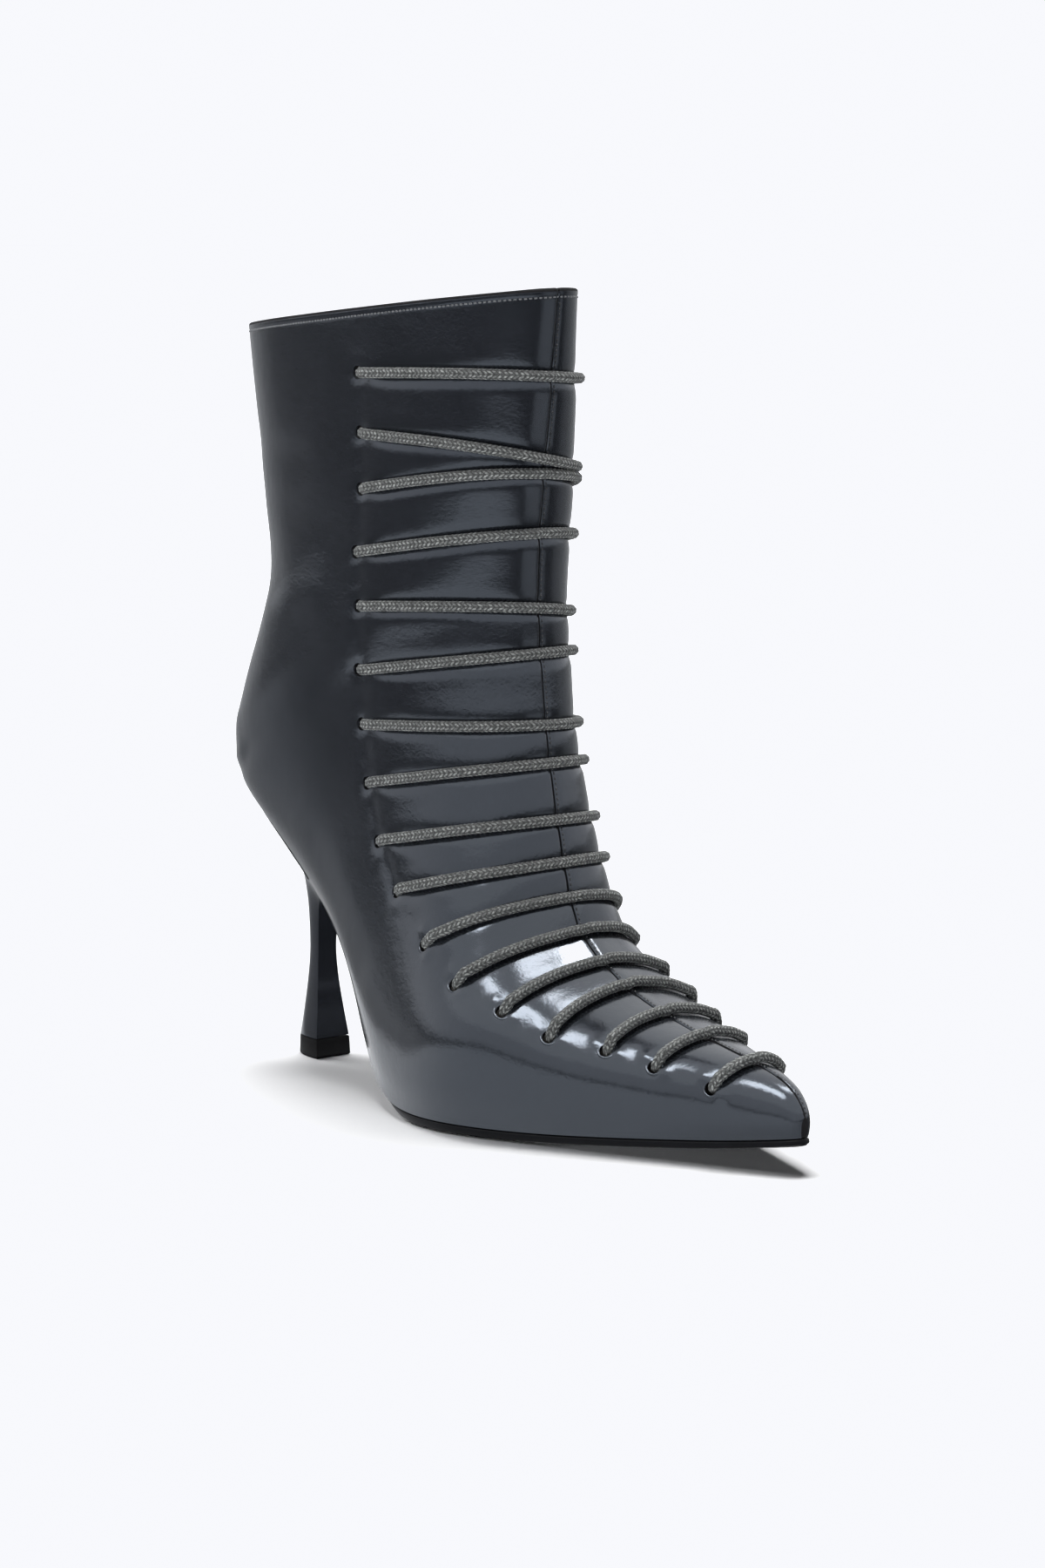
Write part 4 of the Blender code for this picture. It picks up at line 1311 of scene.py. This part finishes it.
# Lights: directions in degrees, from the outer side towards the toe and up, from a point on the boot.
# A light shows either in the gloss alone or on matt surfaces alone.
LIGHT_COLUMNS = ("name", "azimuth", "elevation", "aim", "distance", "size", "brightness", "in_gloss")
LIGHTS = (
    ("instep_gloss", 163.0, 72.0, (0.13, -0.02, 0.05), 1.2, (0.30, 0.42), 10.0, True),
    ("instep_glint", 173.0, 55.5, (0.13, -0.01, 0.05), 1.2, (0.26, 0.17), 22.0, True),
    ("toe_gloss", 4.0, 67.5, (0.21, -0.005, 0.023), 1.2, (0.66, 0.36), 10.0, True),
    ("top_light", 236.0, 75.0, (0.1, 0.0, 0.0), 2.4, (1.2, 0.9), 25.0, False),
    ("side_fill", 290.0, 38.0, (0.05, 0.0, 0.0), 2.4, (1.5, 1.0), 6.5, False),
    ("front_fill", 35.0, 6.0, (0.1, 0.0, 0.1), 3.0, (2.5, 0.5), 5.0, False),
)

# Painted reflection of the floor, seen only in the gloss: degrees from the outer side towards the toe,
# distance of the pale sheet's edge in metres, then brightness on the sheet, at its edge, beyond it and far
# off. The dark sheet before the heel's front, under the arch, is painted floor shadow.
SHEET_COLUMNS = ("degrees", "reach", "sheet", "near", "mid", "far")
SHEET_EDGE = (
    (-150.0, 0.20, 0.05, 0.42, 0.42, 0.42),
    (-116.0, 0.20, 0.05, 0.42, 0.42, 0.42),
    (-104.0, 0.20, 0.95, 0.42, 0.42, 0.42),
    (-92.0, 0.20, 0.95, 0.42, 0.40, 0.38),
    (-82.0, 0.16, 0.95, 0.30, 0.36, 0.22),
    (-75.0, 0.15, 0.95, 0.26, 0.42, 0.10),
    (-64.0, 0.16, 0.95, 0.26, 0.40, 0.08),
    (-57.0, 0.19, 0.95, 0.22, 0.20, 0.07),
    (-52.0, 0.34, 0.95, 0.16, 0.13, 0.06),
    (-46.0, 0.54, 0.95, 0.14, 0.10, 0.06),
    (-40.0, 0.62, 0.95, 0.12, 0.09, 0.06),
    (-20.0, 0.66, 1.0, 0.12, 0.09, 0.06),
    (0.0, 0.76, 1.0, 0.12, 0.09, 0.06),
    (16.0, 0.88, 1.0, 0.12, 0.09, 0.06),
    (40.0, 0.80, 1.0, 0.10, 0.08, 0.06),
    (66.0, 0.62, 0.95, 0.08, 0.06, 0.05),
    (90.0, 0.46, 0.60, 0.05, 0.05, 0.04),
    (97.0, 0.38, 0.30, 0.04, 0.08, 0.04),
    (104.0, 0.30, 0.05, 0.03, 0.55, 0.04),
    (128.0, 0.24, 0.04, 0.03, 0.55, 0.04),
    (134.0, 0.20, 0.04, 0.03, 0.05, 0.03),
    (150.0, 0.14, 0.03, 0.03, 0.03, 0.03),
    (160.0, 0.14, 0.03, 0.20, 0.25, 0.30),
    (195.0, 0.14, 0.05, 0.36, 0.38, 0.40),
    (210.0, 0.20, 0.05, 0.42, 0.42, 0.42),
)


def floor_finish():
    """Plain pale studio floor, with a slight glow far away, where less light falls on it."""
    finish = Finish("studio_floor", IOR=1.3, Emission_Strength=1.0)
    x, y = finish.place.split()
    glow = ((x * x + y * y) ** 0.5).ramp(0.35, 1.6)
    finish.put("Emission Color", glow.mix((0.0, 0.0, 0.0), (1.10, 1.11, 1.15)))
    finish.patches("Base Color", 900.0, 2.0, (0.900, 0.905, 0.920), (0.910, 0.915, 0.930), 0.2, 0.8)
    finish.put("Roughness", 0.85 + 0.05 * finish.noise(300.0))
    return finish.material


def wall_finish():
    """The studio's plain wall, evenly lit."""
    finish = Finish("studio_wall", IOR=1.3, Emission_Strength=1.0, Roughness=1.0)
    finish.patches("Emission Color", 900.0, 2.0, PALE, tuple(0.997 * c for c in PALE), 0.2, 0.8)
    finish.patches("Base Color", 700.0, 2.0, (0.0, 0.0, 0.0), (0.002, 0.002, 0.002), 0.2, 0.8)
    return finish.material


def make_floor(floor_material, wall_material):
    """A pale round floor with a wall far round it."""
    select_none()
    bpy.ops.mesh.primitive_circle_add(vertices=96, radius=STUDIO_RADIUS, fill_type="NGON")
    floor = bpy.context.object
    floor.name = "studio_floor"
    floor.data.materials.append(floor_material)
    select_none()
    bpy.ops.mesh.primitive_circle_add(vertices=96, radius=STUDIO_RADIUS)
    wall = bpy.context.object
    bpy.ops.object.mode_set(mode="EDIT")
    bpy.ops.mesh.select_all(action="SELECT")
    bpy.ops.mesh.extrude_region_move(TRANSFORM_OT_translate={"value": (0.0, 0.0, STUDIO_HEIGHT)})
    bpy.ops.mesh.select_all(action="SELECT")
    bpy.ops.mesh.normals_make_consistent(inside=True)
    bpy.ops.object.mode_set(mode="OBJECT")
    wall.name = "studio_wall"
    wall.data.materials.append(wall_material)
    wall.visible_diffuse = False


def make_gloss_floor(material):
    """Painted reflection: a glowing pale sheet, the dark floor round it and a low rim, seen only in the
    boot's gloss.
    """
    table = dict(zip(SHEET_COLUMNS, np.array(SHEET_EDGE).T))
    degrees = np.arange(table["degrees"][0], table["degrees"][-1] + 1.0, 2.0)
    reach, sheet, near, mid, far = (
        np.interp(degrees, table["degrees"], table[name]) for name in SHEET_COLUMNS[1:])
    rings = (
        (0.02, GLOSS_LIFT, sheet), (0.9 * reach, GLOSS_LIFT, sheet), (1.1 * reach, GLOSS_LIFT, near),
        (reach + 0.25, GLOSS_LIFT, mid), (reach + 0.9, GLOSS_LIFT, mid), (2.2, GLOSS_LIFT, far),
        (GLOSS_RIM, GLOSS_LIFT, far), (GLOSS_RIM, 0.12, np.maximum(far, 0.1)),
        (GLOSS_RIM, 0.36, np.maximum(far, 0.7)))
    turns = np.radians(degrees)
    way = np.stack((np.sin(turns), -np.cos(turns), 0.0 * turns), axis=1)
    points = [(0.1, 0.0, height) + way * (size + 0.0 * reach)[:, None] for size, height, _ in rings]
    floor = new_piece("gloss_floor", np.concatenate(points) / MM, quads(0, len(rings), len(turns)), material)
    glow = floor.data.attributes.new("glow", "FLOAT", "POINT")
    glow.data.foreach_set("value", np.concatenate([ring[2] for ring in rings]).astype(np.float32))
    floor.visible_camera = False
    floor.visible_diffuse = False
    floor.visible_shadow = False
    floor.visible_transmission = False


def direction(azimuth, elevation):
    """A direction in degrees, from the outer side towards the toe and up."""
    turn, rise = math.radians(azimuth), math.radians(elevation)
    return Vector((math.sin(turn) * math.cos(rise), -math.cos(turn) * math.cos(rise), math.sin(rise)))


def make_light(name, azimuth, elevation, aim, distance, size, brightness, in_gloss):
    """A rectangular light that shows in the gloss alone, or on matt surfaces alone."""
    way = direction(azimuth, elevation)
    data = bpy.data.lights.new(name, "AREA")
    data.shape = "RECTANGLE"
    data.size, data.size_y = size
    data.energy = brightness * math.pi * size[0] * size[1]
    light = bpy.data.objects.new(name, data)
    light.location = Vector(aim) + way * distance
    light.rotation_euler = way.to_track_quat("Z", "Y").to_euler()
    light.visible_camera = False
    light.visible_diffuse = not in_gloss
    light.visible_glossy = in_gloss
    bpy.context.scene.collection.objects.link(light)


def make_camera():
    """The camera at the photograph's angle."""
    back = direction(CAMERA_AZIMUTH, CAMERA_ELEVATION)
    data = bpy.data.cameras.new("camera")
    data.sensor_width = SENSOR
    data.lens = FOCAL_PIXELS * SENSOR / PICTURE_HEIGHT
    data.clip_start = 0.05
    data.clip_end = 60.0
    camera = bpy.data.objects.new("camera", data)
    camera.location = Vector(CAMERA_AIM) + back * CAMERA_DISTANCE
    camera.rotation_euler = (-back).to_track_quat("-Z", "Y").to_euler()
    bpy.context.scene.collection.objects.link(camera)
    bpy.context.scene.camera = camera


def light_studio():
    """A pale dome that shows in the gloss, and the lights of the table."""
    world = bpy.data.worlds.new("studio")
    bpy.context.scene.world = world
    world.use_nodes = True
    background = world.node_tree.nodes["Background"]
    background.inputs["Color"].default_value = (0.985, 0.99, 1.0, 1.0)
    background.inputs["Strength"].default_value = DOME
    world.cycles_visibility.diffuse = False
    for light in named(LIGHT_COLUMNS, LIGHTS):
        make_light(**light)


def hold_white():
    """Hold the picture's white at the tone of the plain background."""
    look = bpy.context.scene.view_settings
    look.view_transform = "Standard"
    look.use_curve_mapping = True
    for channel, white in zip(look.curve_mapping.curves, PALE):
        channel.points[1].location = (white, white)
        channel.points.new(1.0, white)
        for point in channel.points:
            point.handle_type = "VECTOR"
    look.curve_mapping.update()


make_camera()
make_floor(floor_finish(), wall_finish())
make_gloss_floor(gloss_floor_finish())
light_studio()
hold_white()
